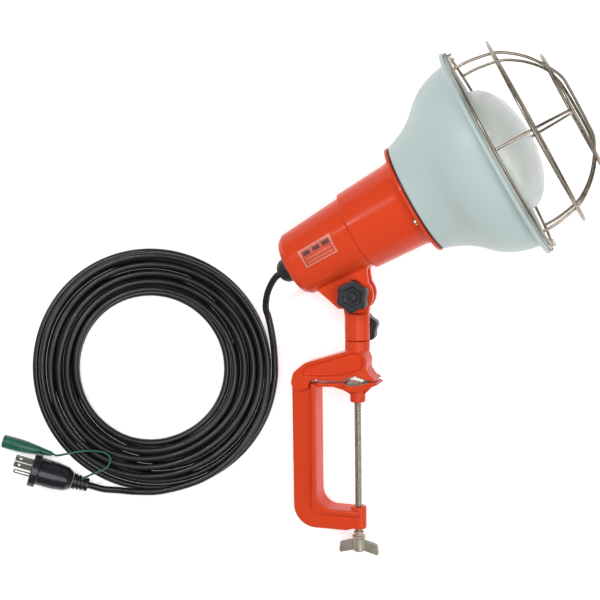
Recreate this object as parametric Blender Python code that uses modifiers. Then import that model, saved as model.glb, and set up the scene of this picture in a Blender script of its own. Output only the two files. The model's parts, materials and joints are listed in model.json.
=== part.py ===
"""Clamp-on work light with a reflector bulb, a wire guard, a screw clamp and a coiled mains cord.

Lengths in this file are millimetres and angles are degrees; place() and the mesh helpers turn them into
metres. The lamp lies on its side on the plane z = 0, as it is laid down on a bench.

  head    X along the optical axis, out of the mouth; Y away from the lug; Z along the tilt hinge.
          Its origin is the centre of the shade's lip.
  optic   the head turned so that local Z is the optical axis, for turned pieces.
  stand   origin on the tilt hinge, Z up the post to the lamp, X from the spine to the clamp screw.
  clamp   the stand turned about the post by the swivel.
  plug    origin at the plug's face, Z from the face back to the cord.
"""

import math

import bmesh
import bpy
from mathutils import Euler, Matrix, Vector

MM = 0.001
GAP = 0.3

# Where the lamp lies
LIP_CENTRE = (56.4, 149.4)
LAMP_YAW = 28.8
LAMP_PITCH = 14.8
POST_ANGLE = -118.8
SWIVEL_REST = -6.0

# Shade and bulb, radii and distances along the optical axis from the lip
LIP_RADIUS = 108.8
SHADE_SKIN = 1.2
SHADE_NECK = 56.8
FLANGE_RADIUS = 56.7
FLANGE_FRONT = -90.0
BULB_RADIUS = 63.5
BULB_APEX = 35.5
BULB_NECK_END = -118.0

# Housing
FRONT_BARREL = (44.4, 41.3)
REAR_BARREL = (38.0, 33.4)
BARREL_STEP = -156.0
HOUSING_END = -233.0
HOUSING_WALL = 3.5
GLAND_RADIUS = 14.3
GLAND_END = -247.0

# Tilt hinge
PIVOT = (-187.1, -54.6)
EAR_RADIUS = 18.4
EAR_INNER, EAR_OUTER = 6.8, 12.8
TONGUE_RADIUS = 15.5
TONGUE_HALF = 5.2
BOLT_RADIUS = 4.0
KNOB_RADIUS = 15.4
KNOB_LOBE = 1.2
KNOB_HEIGHT = 15.0

# Post and swivel
POST_RADIUS = 12.6
POST_TOP, POST_BOTTOM = -19.3, -46.6
SPIGOT_RADIUS, SPIGOT_TOP = 8.0, -27.6
LOCK_LEVEL = -37.0
LOCK_ANGLE = 85.0

# Clamp
SPINE_INNER, SPINE_OUTER = -41.2, -68.6
FLANGE_HALF = 13.5
ARM_TOP, ARM_BOTTOM = -221.2, -244.4
SPINE_BEND, SPINE_FILLET = 23.0, 16.0
SCREW_RADIUS = 3.9
SCREW_HOLE = 4.4
SCREW_TIP, SCREW_END = -103.6, -262.0

# Guard
WIRE = 1.4
BASE_RING = (101.5, 3.7)
MIDDLE_RING = (95.8, 41.0)
FRONT_RING = (59.8, 78.8)

# Cord
CORD_RADIUS = 3.5
COIL_CENTRE = (-284.4, -65.0)
COIL_OUTER, COIL_INNER, COIL_HEIGHT = 128.6, 69.6, 14.3
COIL_BULGE, COIL_BULGE_AT = 5.5, 132.0
PLUG_FACE = (-410.8, -166.2, 20.5)
PLUG_YAW, PLUG_PITCH, PLUG_ROLL = -17.9, 10.5, -162.0
PLUG_RADIUS = 18.0
PLUG_LENGTH = 61.0


# ---------------------------------------------------------------- scene and helpers


def clear_scene():
    for obj in list(bpy.data.objects):
        bpy.data.objects.remove(obj, do_unlink=True)


def collection(name):
    made = bpy.data.collections.new(name)
    bpy.context.scene.collection.children.link(made)
    return made


def material(name, colour, roughness, metallic=0.0):
    made = bpy.data.materials.new(name)
    made.use_nodes = True
    shader = made.node_tree.nodes["Principled BSDF"]
    shader.inputs["Base Color"].default_value = (*colour, 1.0)
    shader.inputs["Roughness"].default_value = roughness
    shader.inputs["Metallic"].default_value = metallic
    made.diffuse_color = (*colour, 1.0)
    return made


def place(obj, parent=None, at=(0, 0, 0), turn=(0, 0, 0)):
    """Parents an object and sets its place, in millimetres, and its rotation, in degrees."""
    obj.parent = parent
    obj.matrix_local = Matrix.LocRotScale(
        Vector(at) * MM, Euler([math.radians(a) for a in turn]), None
    )
    return obj


def empty(name, parent=None, at=(0, 0, 0), turn=(0, 0, 0)):
    made = bpy.data.objects.new(name, None)
    made.empty_display_size = 0.02
    FRAMES.objects.link(made)
    return place(made, parent, at, turn)


def solid(name, mesh, paint, parent, at, turn):
    """Links a mesh as a node of the lamp, or as a helper when it has no paint."""
    obj = bpy.data.objects.new(name, mesh)
    if paint is None:
        CUTTERS.objects.link(obj)
        obj.hide_render = True
        obj.display_type = "WIRE"
    else:
        LAMP.objects.link(obj)
        mesh.materials.append(paint)
    return place(obj, parent, at, turn)


def turned(name, profile, paint, parent, at=(0, 0, 0), turn=(0, 0, 0), steps=32, loop=False):
    """A solid turned about local Z. profile is (radius, height) pairs that run down its outer side."""
    mesh = bpy.data.meshes.new(name)
    edges = [(i, i + 1) for i in range(len(profile) - 1)]
    if loop:
        edges.append((len(profile) - 1, 0))
    mesh.from_pydata([(r * MM, 0.0, h * MM) for r, h in profile], edges, [])
    obj = solid(name, mesh, paint, parent, at, turn)
    screw = obj.modifiers.new("turn", "SCREW")
    screw.steps = screw.render_steps = steps
    screw.use_merge_vertices = True
    screw.merge_threshold = 0.00001
    return obj


def rod(name, radius, top, bottom, paint, parent, at=(0, 0, 0), turn=(0, 0, 0), steps=24):
    profile = [(0, top), (radius, top), (radius, bottom), (0, bottom)]
    return turned(name, profile, paint, parent, at, turn, steps)


def washer(name, outer, inner, top, bottom, paint, parent, at=(0, 0, 0), turn=(0, 0, 0), steps=24):
    profile = [(inner, top), (outer, top), (outer, bottom), (inner, bottom)]
    return turned(name, profile, paint, parent, at, turn, steps, loop=True)


def block(name, low, high, paint, parent, at=(0, 0, 0), turn=(0, 0, 0)):
    mesh = bpy.data.meshes.new(name)
    shape = bmesh.new()
    size = Vector(high) - Vector(low)
    middle = (Vector(high) + Vector(low)) / 2
    fit = Matrix.Translation(middle * MM) @ Matrix.Diagonal((*(size * MM), 1.0))
    bmesh.ops.create_cube(shape, size=1.0, matrix=fit)
    shape.to_mesh(mesh)
    shape.free()
    return solid(name, mesh, paint, parent, at, turn)


def plate(name, outline, half, paint, parent, at=(0, 0, 0), turn=(0, 0, 0)):
    """A flat outline in local XY with material half above and half below it."""
    curve = bpy.data.curves.new(name, "CURVE")
    curve.dimensions = "2D"
    curve.fill_mode = "BOTH"
    curve.extrude = half * MM
    spline = curve.splines.new("POLY")
    spline.points.add(len(outline) - 1)
    spline.use_cyclic_u = True
    for point, (x, y) in zip(spline.points, outline):
        point.co = (x * MM, y * MM, 0.0, 1.0)
    flat = bpy.data.objects.new(name, curve)
    LAMP.objects.link(flat)
    mesh = as_mesh(flat, name)
    return solid(name, mesh, paint, parent, at, turn)


def as_mesh(curve_object, name):
    """The welded mesh of a curve object, which is removed."""
    bpy.context.view_layer.update()
    graph = bpy.context.evaluated_depsgraph_get()
    mesh = bpy.data.meshes.new_from_object(curve_object.evaluated_get(graph))
    bpy.data.objects.remove(curve_object, do_unlink=True)
    shape = bmesh.new()
    shape.from_mesh(mesh)
    bmesh.ops.remove_doubles(shape, verts=shape.verts, dist=0.000001)
    bmesh.ops.recalc_face_normals(shape, faces=shape.faces)
    shape.to_mesh(mesh)
    shape.free()
    mesh.name = name
    return mesh


def wire(name, points, radius, paint, parent=None, loop=False, at=(0, 0, 0), turn=(0, 0, 0)):
    """A round wire or cord along points, with flat filled ends."""
    curve = bpy.data.curves.new(name, "CURVE")
    curve.dimensions = "3D"
    curve.bevel_depth = radius * MM
    curve.bevel_resolution = 2
    curve.use_fill_caps = True
    spline = curve.splines.new("POLY")
    spline.points.add(len(points) - 1)
    spline.use_cyclic_u = loop
    for point, where in zip(spline.points, points):
        point.co = (*(Vector(where) * MM), 1.0)
    obj = bpy.data.objects.new(name, curve)
    LAMP.objects.link(obj)
    curve.materials.append(paint)
    return place(obj, parent, at, turn)


def boolean(obj, operation, others):
    for other in others:
        step = obj.modifiers.new(f"{operation.lower()} {other.name}", "BOOLEAN")
        step.operation = operation
        step.solver = "EXACT"
        step.object = other
    return obj


def cut(obj, *cutters):
    return boolean(obj, "DIFFERENCE", cutters)


def join(obj, *helpers):
    return boolean(obj, "UNION", helpers)


def arc(centre, radius, start, end, count):
    """Points on a circle from one angle to another, both included."""
    angles = [math.radians(start + (end - start) * i / (count - 1)) for i in range(count)]
    return [(centre[0] + radius * math.cos(a), centre[1] + radius * math.sin(a)) for a in angles]


def smooth(points, spacing):
    """A Catmull-Rom curve through points, read about every spacing millimetres."""
    knots = [Vector(p) for p in points]
    knots = [2 * knots[0] - knots[1], *knots, 2 * knots[-1] - knots[-2]]
    path = []
    for a, b, c, d in zip(knots, knots[1:], knots[2:], knots[3:]):
        count = max(1, round((c - b).length / spacing))
        for i in range(count):
            t = i / count
            path.append(
                0.5 * (2 * b + (c - a) * t + (2 * a - 5 * b + 4 * c - d) * t**2
                       + (3 * b - a - 3 * c + d) * t**3)
            )
    return path + [knots[-2]]


# ---------------------------------------------------------------- lamp head


def lamp_housing():
    """The die-cast housing: a stepped barrel with a front flange, a closed rear and two hinge ears."""
    front, step, rear = FRONT_BARREL, BARREL_STEP, REAR_BARREL
    inner_end = HOUSING_END + HOUSING_WALL
    profile = [
        (0, inner_end),
        (rear[1] - HOUSING_WALL - 6, inner_end),
        (rear[1] - HOUSING_WALL, inner_end + 6),
        (rear[0] - HOUSING_WALL, step + 1),
        (front[1] - HOUSING_WALL, step + 5),
        (front[0] - HOUSING_WALL, FLANGE_FRONT - 6),
        (front[0] - HOUSING_WALL, FLANGE_FRONT),
        (FLANGE_RADIUS, FLANGE_FRONT),
        (FLANGE_RADIUS, FLANGE_FRONT - 2.8),
        (front[0] + 1.5, FLANGE_FRONT - 3.4),
        (front[0], FLANGE_FRONT - 6),
        (front[1], step + 0.6),
        (front[1] - 0.6, step),
        (rear[0], step - 0.4),
        (rear[1], HOUSING_END + 9),
        (rear[1] - 2, HOUSING_END + 4),
        (rear[1] - 6, HOUSING_END + 1),
        (rear[1] - 12, HOUSING_END),
        (0, HOUSING_END),
    ]
    housing = turned("lamp_housing", profile, RED_PAINT, OPTIC, steps=40)
    gland_hole = rod("gland_hole", 8.6, inner_end + 3, HOUSING_END - 3, None, OPTIC)
    ears = [hinge_ear(side) for side in (1, -1)]
    bolt_hole = rod("bolt_hole", BOLT_RADIUS + 0.3, 20, -20, None, HEAD, (*PIVOT, 0), steps=20)
    screw_holes = [
        rod(f"flange_hole_{i + 1}", 1.9, 5, -8, None, OPTIC, flange_screw_place(i, FLANGE_FRONT), steps=12)
        for i in range(3)
    ]
    join(housing, *ears)
    cut(housing, gland_hole, bolt_hole, *screw_holes)


def hinge_ear(side):
    """One ear of the fork: a round end on the pivot, and two flanks that run up into the rear barrel."""
    x, y = PIVOT
    outline = [(-163.5, -34.0), (-165.0, -41.5)]
    outline += arc(PIVOT, EAR_RADIUS, 14, -160, 12)
    outline += [(x - 22.6, y - 4.2), (-217.5, -34.5), (-217.2, -30.3)]
    middle = side * (EAR_INNER + EAR_OUTER) / 2
    return plate(f"ear_{side}", outline, (EAR_OUTER - EAR_INNER) / 2, None, HEAD, (0, 0, middle))


def flange_screw_place(index, height):
    """The three flange screws stand 120 degrees apart, the first a little above the lug's side."""
    angle = math.radians(-156 + 120 * index)
    return (50.5 * math.cos(angle), 50.5 * math.sin(angle), height)


def shade():
    """The spun bell shade and what holds it on the flange."""
    profile = [
        (LIP_RADIUS, -SHADE_SKIN),
        (100.0, -3.0),
        (98.2, -4.6),
        (96.2, -18.0),
        (94.0, -25.0),
        (88.7, -37.8),
        (77.5, -51.2),
        (70.8, -58.6),
        (66.6, -64.0),
        (62.6, -70.5),
        (60.2, -77.5),
        (SHADE_NECK, -86.5),
        (SHADE_NECK - 1.2, FLANGE_FRONT + 1.6),
        (41.6, FLANGE_FRONT + 1.6),
    ]
    bell = turned("reflector_shade", profile, SHADE_PAINT, OPTIC, steps=44)
    skin = bell.modifiers.new("skin", "SOLIDIFY")
    skin.thickness = SHADE_SKIN * MM
    skin.offset = -1
    holes = [
        rod(f"shade_hole_{i + 1}", 1.9, 6, -3, None, OPTIC, flange_screw_place(i, FLANGE_FRONT), steps=12)
        for i in range(3)
    ]
    gasket = washer("shade_gasket", 55.6, 41.8, FLANGE_FRONT + 1.3, FLANGE_FRONT + GAP, RUBBER, OPTIC,
                    steps=40)
    ring_low = FLANGE_FRONT + 1.6 + SHADE_SKIN + GAP
    ring = washer("shade_clamp_ring", 53.6, 42.0, ring_low + 1.6, ring_low, ZINC, OPTIC, steps=40)
    for piece in (bell, gasket, ring):
        cut(piece, *holes)
    for i in range(3):
        shank = [(0, 7.0), (1.5, 7.0), (1.5, -3.7), (3.4, -3.7), (3.4, -5.2), (1.4, -6.0), (0, -6.0)]
        turned(f"shade_screw_{i + 1}", shank, ZINC, OPTIC, flange_screw_place(i, FLANGE_FRONT), steps=16)
        nut_low = ring_low + 1.6 + GAP - FLANGE_FRONT
        washer(f"shade_nut_{i + 1}", 3.3, 2.0, nut_low + 2.2, nut_low, ZINC, OPTIC,
               flange_screw_place(i, FLANGE_FRONT), steps=6)


def bulb():
    """A reflector bulb: a domed face, a parabolic back and a neck that ends in the screw cap."""
    face = [(BULB_RADIUS * math.sin(math.radians(a)), BULB_APEX - 31.5 * (1 - math.cos(math.radians(a))))
            for a in range(0, 91, 15)]
    back = [(BULB_RADIUS - 43.0 * t**1.5, 4.0 - 92.0 * t) for t in (0.15, 0.35, 0.6, 0.85, 1.0)]
    neck = [(16.5, -100.0), (12.9, -108.0), (12.9, BULB_NECK_END)]
    outer = face + back + neck
    inner = [(max(r - 1.0, 0.0), h - 1.0 * (h > 4)) for r, h in reversed(outer)]
    turned("bulb_glass", outer + inner, GLASS, OPTIC, steps=32)
    cap = [(0, -145.5), (4.6, -145.0), (12.3, -141.0), (12.3, BULB_NECK_END - GAP),
           (13.3, BULB_NECK_END - GAP), (13.3, -142.0), (5.0, -146.5), (0, -147.0)]
    turned("bulb_cap", cap, BRASS, OPTIC, steps=24)


def lamp_holder():
    """The porcelain holder with its brass shell and contact, on a strap across the rear barrel."""
    body = [(0, -151.5), (14.6, -151.5), (14.6, -119.5), (18.4, -119.5), (18.4, -156.0), (0, -156.0)]
    turned("lamp_holder", body, PORCELAIN, OPTIC, steps=28)
    shell = [(13.6, -120.5), (14.3, -120.5), (14.3, -148.5), (6.0, -148.5), (6.0, -147.7), (13.6, -147.7)]
    turned("holder_shell", shell, BRASS, OPTIC, steps=24, loop=True)
    block("holder_contact", (-2.0, -4.0, -151.0), (2.0, 4.0, -149.9), BRASS, OPTIC)
    strap_low = -158.6
    strap = block("holder_strap", (-30.5, -8, strap_low), (30.5, 8, strap_low + 2.0), ZINC, OPTIC)
    holes = [rod(f"strap_hole_{s}", 2.0, 3, -3, None, OPTIC, (s * 10, 0, strap_low + 1), steps=12)
             for s in (1, -1)]
    cut(strap, *holes)
    for i, s in enumerate((1, -1)):
        head = [(0, 0.0), (3.2, 0.0), (3.2, -2.0), (0, -2.0)]
        turned(f"holder_screw_{i + 1}", head, ZINC, OPTIC, (s * 10, 0, strap_low - GAP), steps=16)


def gland_and_wiring():
    """The rubber cord gland in the rear wall, its nut and the two inner wires."""
    base = HOUSING_END - GAP
    bore = CORD_RADIUS + 0.4
    dome = [(bore, -196.0), (8.2, -196.0), (8.2, base), (GLAND_RADIUS, base), (GLAND_RADIUS, base - 4.0),
            (GLAND_RADIUS - 2, base - 8.5), (GLAND_RADIUS - 5, GLAND_END + 1.8), (7.0, GLAND_END),
            (bore, GLAND_END)]
    turned("cord_gland", dome, RUBBER, OPTIC, steps=24, loop=True)
    nut_top = HOUSING_END + HOUSING_WALL + GAP + 5
    washer("gland_nut", 13.0, 9.9, nut_top, nut_top - 5, ZINC, OPTIC, steps=6)
    for name, side in (("inner_wire_1", 1), ("inner_wire_2", -1)):
        route = [(side * 1.6, 0, -195.0), (side * 4.5, 0, -186.0), (side * 12.6, 10.5, -174.0),
                 (side * 12.6, 12.5, -163.0), (side * 10.8, 12.8, -157.0)]
        wire(name, smooth(route, 4.0), 1.1, RUBBER, OPTIC)


# ---------------------------------------------------------------- guard


def bow_profile(x_shift):
    """Half of a guard bow, from the base ring to the optical axis, as (radius, distance)."""
    rim = [(98.2, 3.7), (97.4, 20.0), (92.4, 41.0), (86.0, 52.0), (73.0, 65.5), (55.5, 77.0)]
    nose = [(37.0, 82.0 + x_shift), (20.0, 83.2 + x_shift)]
    return rim + nose


def guard():
    rings = {"guard_base_ring": BASE_RING, "guard_middle_ring": MIDDLE_RING, "guard_front_ring": FRONT_RING}
    for name, (radius, height) in rings.items():
        circle = [(x, y, height) for x, y in arc((0, 0), radius, 0, 360, 41)[:-1]]
        wire(name, circle, WIRE, CHROMATE, OPTIC, loop=True)
    for i in range(3):
        apex_shift = (i - 1) * 3.2
        half = bow_profile(apex_shift)
        arch = [(r, 0, h) for r, h in half] + [(0, 0, 83.4 + apex_shift)]
        arch += [(-r, 0, h) for r, h in reversed(half)]
        wire(f"guard_bow_{i + 1}", smooth(arch, 8.0), WIRE, CHROMATE, OPTIC, turn=(0, 0, 60 * i))


def guard_clips():
    """The hinge clip on the lug side and the snap clip opposite it. Both hold the base ring's wire."""
    radius, height = BASE_RING
    for name, spin in (("guard_hinge_clip", 180), ("guard_snap_clip", 0)):
        turn = (0, 0, spin)
        side = -1 if spin else 1
        clip = block(name, (-5.5, radius - 3.2, GAP), (5.5, radius + 6.4, height + 3.3), CHROMATE, OPTIC,
                     turn=turn)
        relief = block(f"{name}_relief", (-7, radius + 3.0, 2.0), (7, radius + 8, 9), None, OPTIC, turn=turn)
        if name == "guard_hinge_clip":
            channel = rod(f"{name}_channel", WIRE + 0.4, 8, -8, None, OPTIC, (0, side * radius, height),
                          (0, 90, 0), steps=14)
        else:
            channel = block(f"{name}_channel", (-8, radius - 1.8, height - 1.9), (8, radius + 1.8, 9), None,
                            OPTIC, turn=turn)
        rivet_at = (0, side * (radius + 4.9), 0)
        hole = rod(f"{name}_hole", 1.4, 6, -4, None, OPTIC, rivet_at, steps=12)
        cut(clip, relief, channel, hole)
        rivet = [(0, 3.0), (1.6, 2.7), (1.6, 2.0 + GAP), (1.1, 2.0 + GAP), (1.1, -4.0), (0, -4.0)]
        turned(f"{name}_rivet", rivet, CHROMATE, OPTIC, rivet_at, steps=12)
        cut(bpy.data.objects["reflector_shade"], hole)


# ---------------------------------------------------------------- tilt hinge and post


def lobed(radius, lobe, count=36):
    """The outline of a six-lobed knob."""
    angles = [2 * math.pi * i / count for i in range(count)]
    return [((radius + lobe * math.cos(6 * a)) * math.cos(a), (radius + lobe * math.cos(6 * a)) * math.sin(a))
            for a in angles]


def knob(name, parent, at, turn, bore_depth):
    """A lobed hand knob on local Z with its foot at the origin and a blind bore from the foot."""
    grip = plate(name, lobed(KNOB_RADIUS, KNOB_LOBE), KNOB_HEIGHT / 2 - 1.5, BLACK_PLASTIC, parent, at, turn)
    for vertex in grip.data.vertices:
        vertex.co.z += (KNOB_HEIGHT / 2 + 1.5) * MM
    foot = rod(f"{name}_foot", 9.0, 6.0, 0.0, None, parent, at, turn)
    cap = turned(f"{name}_cap", [(0, KNOB_HEIGHT + 1.6), (4.6, KNOB_HEIGHT + 1.2), (5.6, KNOB_HEIGHT - 2),
                                 (0, KNOB_HEIGHT - 2)], None, parent, at, turn)
    bore = rod(f"{name}_bore", BOLT_RADIUS + 0.3, bore_depth, -2.0, None, parent, at, turn, steps=20)
    join(grip, foot, cap)
    return cut(grip, bore)


def tilt_hinge():
    """The cross bolt, its knob and washer, and the friction washers beside the tongue."""
    bolt = [(0, 27.0), (BOLT_RADIUS, 27.0), (BOLT_RADIUS, -EAR_OUTER - GAP), (8.2, -EAR_OUTER - GAP),
            (8.2, -EAR_OUTER - 3.2), (5.6, -EAR_OUTER - 5.0), (0, -EAR_OUTER - 5.4)]
    turned("tilt_bolt", bolt, ZINC, HEAD, (*PIVOT, 0), steps=20)
    for i, side in enumerate((1, -1)):
        levels = sorted((side * (TONGUE_HALF + GAP), side * (EAR_INNER - GAP)))
        washer(f"friction_washer_{i + 1}", 12.0, BOLT_RADIUS + 0.3, levels[1], levels[0], ZINC, HEAD,
               (*PIVOT, 0))
    seat = EAR_OUTER + GAP
    washer("tilt_washer", 9.5, BOLT_RADIUS + 0.3, seat + 1.6, seat, ZINC, HEAD, (*PIVOT, 0))
    knob("tilt_knob", HEAD, (*PIVOT, seat + 1.6 + GAP), (0, 0, -4), 13.5)


def swivel_yoke():
    """The tongue on the tilt bolt and the hollow post below it, which turns on the clamp's spigot."""
    tongue_outline = arc((0, 0), TONGUE_RADIUS, 200, -20, 16)
    tongue_outline += [(POST_RADIUS - 0.6, POST_TOP - 3), (-POST_RADIUS + 0.6, POST_TOP - 3)]
    tongue = plate("yoke_tongue", tongue_outline, TONGUE_HALF, None, STAND, turn=(90, 0, 0))
    post = [(0, POST_TOP), (POST_RADIUS - 1, POST_TOP), (POST_RADIUS, POST_TOP - 1.2),
            (POST_RADIUS, POST_BOTTOM), (SPIGOT_RADIUS + 0.3, POST_BOTTOM),
            (SPIGOT_RADIUS + 0.3, SPIGOT_TOP + 1.0), (0, SPIGOT_TOP + 1.0)]
    yoke = turned("swivel_yoke", post, RED_PAINT, STAND, steps=32)
    bolt_hole = rod("tongue_hole", BOLT_RADIUS + 0.3, 9, -9, None, STAND, turn=(90, 0, 0), steps=20)
    lock_hole = rod("lock_hole", 3.4, 20, 4, None, LOCK, steps=16)
    join(yoke, tongue)
    cut(yoke, bolt_hole, lock_hole)


def swivel_lock():
    """The pad, stud and knob that lock the post on the spigot, along local Z of the lock frame."""
    rod("lock_pad", 2.9, 11.0, 7.2, BRASS, LOCK, steps=16)
    rod("lock_stud", 3.0, 27.0, 11.3, ZINC, LOCK, steps=16)
    knob("swivel_knob", LOCK, (0, 0, POST_RADIUS + 2.6), (0, 0, 12), 13.0)


# ---------------------------------------------------------------- clamp


def clamp_frame():
    """The cast C frame: a rib and wide inner flange on the spine, a pocketed upper arm with a V jaw."""
    upright = (90, 0, 0)
    spigot = [(0, SPIGOT_TOP), (SPIGOT_RADIUS - 0.8, SPIGOT_TOP), (SPIGOT_RADIUS, SPIGOT_TOP - 0.8),
              (SPIGOT_RADIUS, LOCK_LEVEL + 3.6), (6.8, LOCK_LEVEL + 3.4), (6.8, LOCK_LEVEL - 3.4),
              (SPIGOT_RADIUS, LOCK_LEVEL - 3.6), (SPIGOT_RADIUS, POST_BOTTOM - GAP),
              (POST_RADIUS, POST_BOTTOM - GAP), (POST_RADIUS, -58.4), (0, -58.4)]
    frame = turned("clamp_frame", spigot, RED_PAINT, CLAMP, steps=32)
    upper = [(-12.0, -56.5), (10.5, -56.5), (12.8, -61.0), (12.8, -68.0), (12.1, -75.0), (17.5, -82.4),
             (17.2, -84.0), (12.9, -83.4), (0.4, -79.6), (-12.0, -84.5), (-33.0, -86.8)]
    upper += arc((-35.6, -94.5), 6.5, 100, 165, 4)
    upper += [(-44.0, -100.0), (-60.0, -100.0), (SPINE_OUTER + 0.5, -92.0), (-66.5, -84.5), (-62.0, -77.3),
              (-54.0, -71.0), (-31.6, -63.4)]
    upper_arm = plate("upper_arm", upper, 10.5, None, CLAMP, turn=upright)
    jaw_top = [(20.9, -83.6), (21.2, -86.2), (12.9, -85.4), (0.4, -81.6), (-12.2, -86.5), (-12.6, -88.0),
               (-38.0, -88.0), (-38.0, -84.5), (-12.0, -82.5), (0.4, -77.6), (12.9, -81.0)]
    jaw_plate = plate("fixed_jaw", jaw_top, FLANGE_HALF - 0.5, None, CLAMP, turn=upright)
    inner_turn = (SPINE_INNER + SPINE_FILLET, ARM_TOP + SPINE_FILLET)
    outer_turn = (SPINE_OUTER + SPINE_BEND, ARM_BOTTOM + SPINE_BEND)
    rib = [(SPINE_OUTER, -94.0), (SPINE_OUTER + 9, -89.0), (SPINE_INNER - 3.5, -95.0)]
    rib += arc(inner_turn, SPINE_FILLET + 3.5, 180, 270, 6)
    rib += [(4.0, ARM_TOP - 3.5), (4.0, ARM_BOTTOM + 5.5), (-12.0, ARM_BOTTOM)]
    rib += arc(outer_turn, SPINE_BEND, -90, -180, 7)
    spine_rib = plate("spine_rib", rib, 7.5, None, CLAMP, turn=upright)
    flange_line = [(SPINE_INNER, -92.0), *arc(inner_turn, SPINE_FILLET, 180, 270, 6), (3.0, ARM_TOP),
                   (3.0, ARM_TOP - 7.0), *arc(inner_turn, SPINE_FILLET + 7.0, 270, 180, 6),
                   (SPINE_INNER - 7.0, -92.0)]
    flange = plate("spine_flange", flange_line, FLANGE_HALF, None, CLAMP, turn=upright)
    boss = turned("screw_boss", [(0, -218.6), (8.1, -218.6), (8.1, -240.6), (7.2, -241.8), (0, -241.8)],
                  None, CLAMP, steps=24)
    pocket_line = arc((1.4, -66.8), 7.0, -60, 110, 7) + [(-30.0, -68.0), (-52.0, -76.4), (-58.0, -83.0)]
    pocket_line += [(-36.0, -84.0), (-14.0, -82.0)]
    pockets = [plate(f"pocket_{s}", pocket_line, 2.4, None, CLAMP, (0, s * 10.5, 0), upright)
               for s in (1, -1)]
    screw_hole = rod("screw_hole", SCREW_HOLE, -210, -248, None, CLAMP, steps=20)
    cut(upper_arm, *pockets)
    join(frame, upper_arm, jaw_plate, spine_rib, flange, boss)
    cut(frame, screw_hole)


def moving_jaw():
    """The V jaw that the screw carries, with its rib and hub, and the pin that keeps the screw in it."""
    upright = (90, 0, 0)
    vee = [(SPINE_INNER + 0.6, -90.8), (-12.6, -89.6), (-12.2, -88.6), (-9.6, -90.4), (-0.9, -91.9),
           (3.3, -90.8), (14.4, -87.2), (20.4, -87.4), (23.8, -88.9), (23.8, -89.8), (19.6, -91.3),
           (3.3, -98.2), (-6.7, -97.6), (-23.1, -93.6), (SPINE_INNER + 0.6, -94.8)]
    jaw = plate("clamp_jaw", vee, FLANGE_HALF - 0.8, RED_PAINT, CLAMP, turn=upright)
    rib = plate("jaw_rib", [(-25.0, -93.0), (18.0, -91.0), (8.0, -101.5), (-7.0, -101.8)], 4.5, None, CLAMP,
                turn=upright)
    hub = rod("jaw_hub", 7.4, -93.0, -110.0, None, CLAMP)
    bore = rod("hub_bore", SCREW_HOLE, SCREW_TIP + 0.6, -114, None, CLAMP, steps=20)
    pin_hole = rod("pin_hole", 1.25, 9, -9, None, CLAMP, (4.3, 0, -106.5), upright, steps=12)
    join(jaw, rib, hub)
    cut(jaw, bore, pin_hole)
    rod("jaw_pin", 0.95, 7.0, -7.0, ZINC, CLAMP, (4.3, 0, -106.5), upright, steps=12)


def clamp_screw():
    profile = [(0, SCREW_TIP), (SCREW_RADIUS, SCREW_TIP - 0.4), (SCREW_RADIUS, -105.0), (2.9, -105.2),
               (2.9, -107.8), (SCREW_RADIUS, -108.0), (SCREW_RADIUS, SCREW_END), (0, SCREW_END)]
    screw = turned("clamp_screw", profile, ZINC, CLAMP, steps=16)
    cross = rod("cross_hole", 1.4, 9, -9, None, CLAMP, (0, 0, -256.5), (90, 0, 0), steps=12)
    cut(screw, cross)
    hub = [(0, SCREW_END - 0.6), (SCREW_HOLE, SCREW_END - 0.6), (SCREW_HOLE, -244.8), (5.2, -245.0),
           (5.0, -248.6), (7.0, -249.8), (7.0, -251.4), (5.8, -252.6), (5.8, -266.0), (0, -267.0)]
    handle = turned("wing_handle", hub, CHROMATE, CLAMP, steps=20)
    wings = [wing(side) for side in (1, -1)]
    pin_way = rod("handle_cross_hole", 1.4, 9, -9, None, CLAMP, (0, 0, -256.5), (90, 0, 0), steps=12)
    bore = rod("handle_bore", SCREW_HOLE, -240, SCREW_END - 0.6, None, CLAMP, steps=20)
    join(handle, *wings)
    cut(handle, bore, pin_way)
    rod("wing_pin", 1.1, 5.6, -5.6, ZINC, CLAMP, (0, 0, -256.5), (90, 0, 0), steps=12)


def wing(side):
    """One flat wing, which leans away from the clamp."""
    outline = [(4.6, -252.8), (19.6, -257.6), (21.4, -259.4), (21.2, -269.0), (19.8, -270.4), (4.6, -265.2)]
    sided = [(side * x, z) for x, z in outline]
    return plate(f"wing_{side}", sided[::side], 1.5, None, CLAMP, turn=(90, 0, 0))


# ---------------------------------------------------------------- cord and plug


def coil_outline(radius):
    """A circle round the coil's centre that bulges where the turns lie loosest."""
    outline = []
    for i in range(48):
        angle = math.radians(7.5 * i)
        swell = COIL_BULGE * (0.5 + 0.5 * math.cos(angle - math.radians(COIL_BULGE_AT))) ** 3
        outline.append(((radius + swell) * math.cos(angle), (radius + swell) * math.sin(angle)))
    return outline


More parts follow.
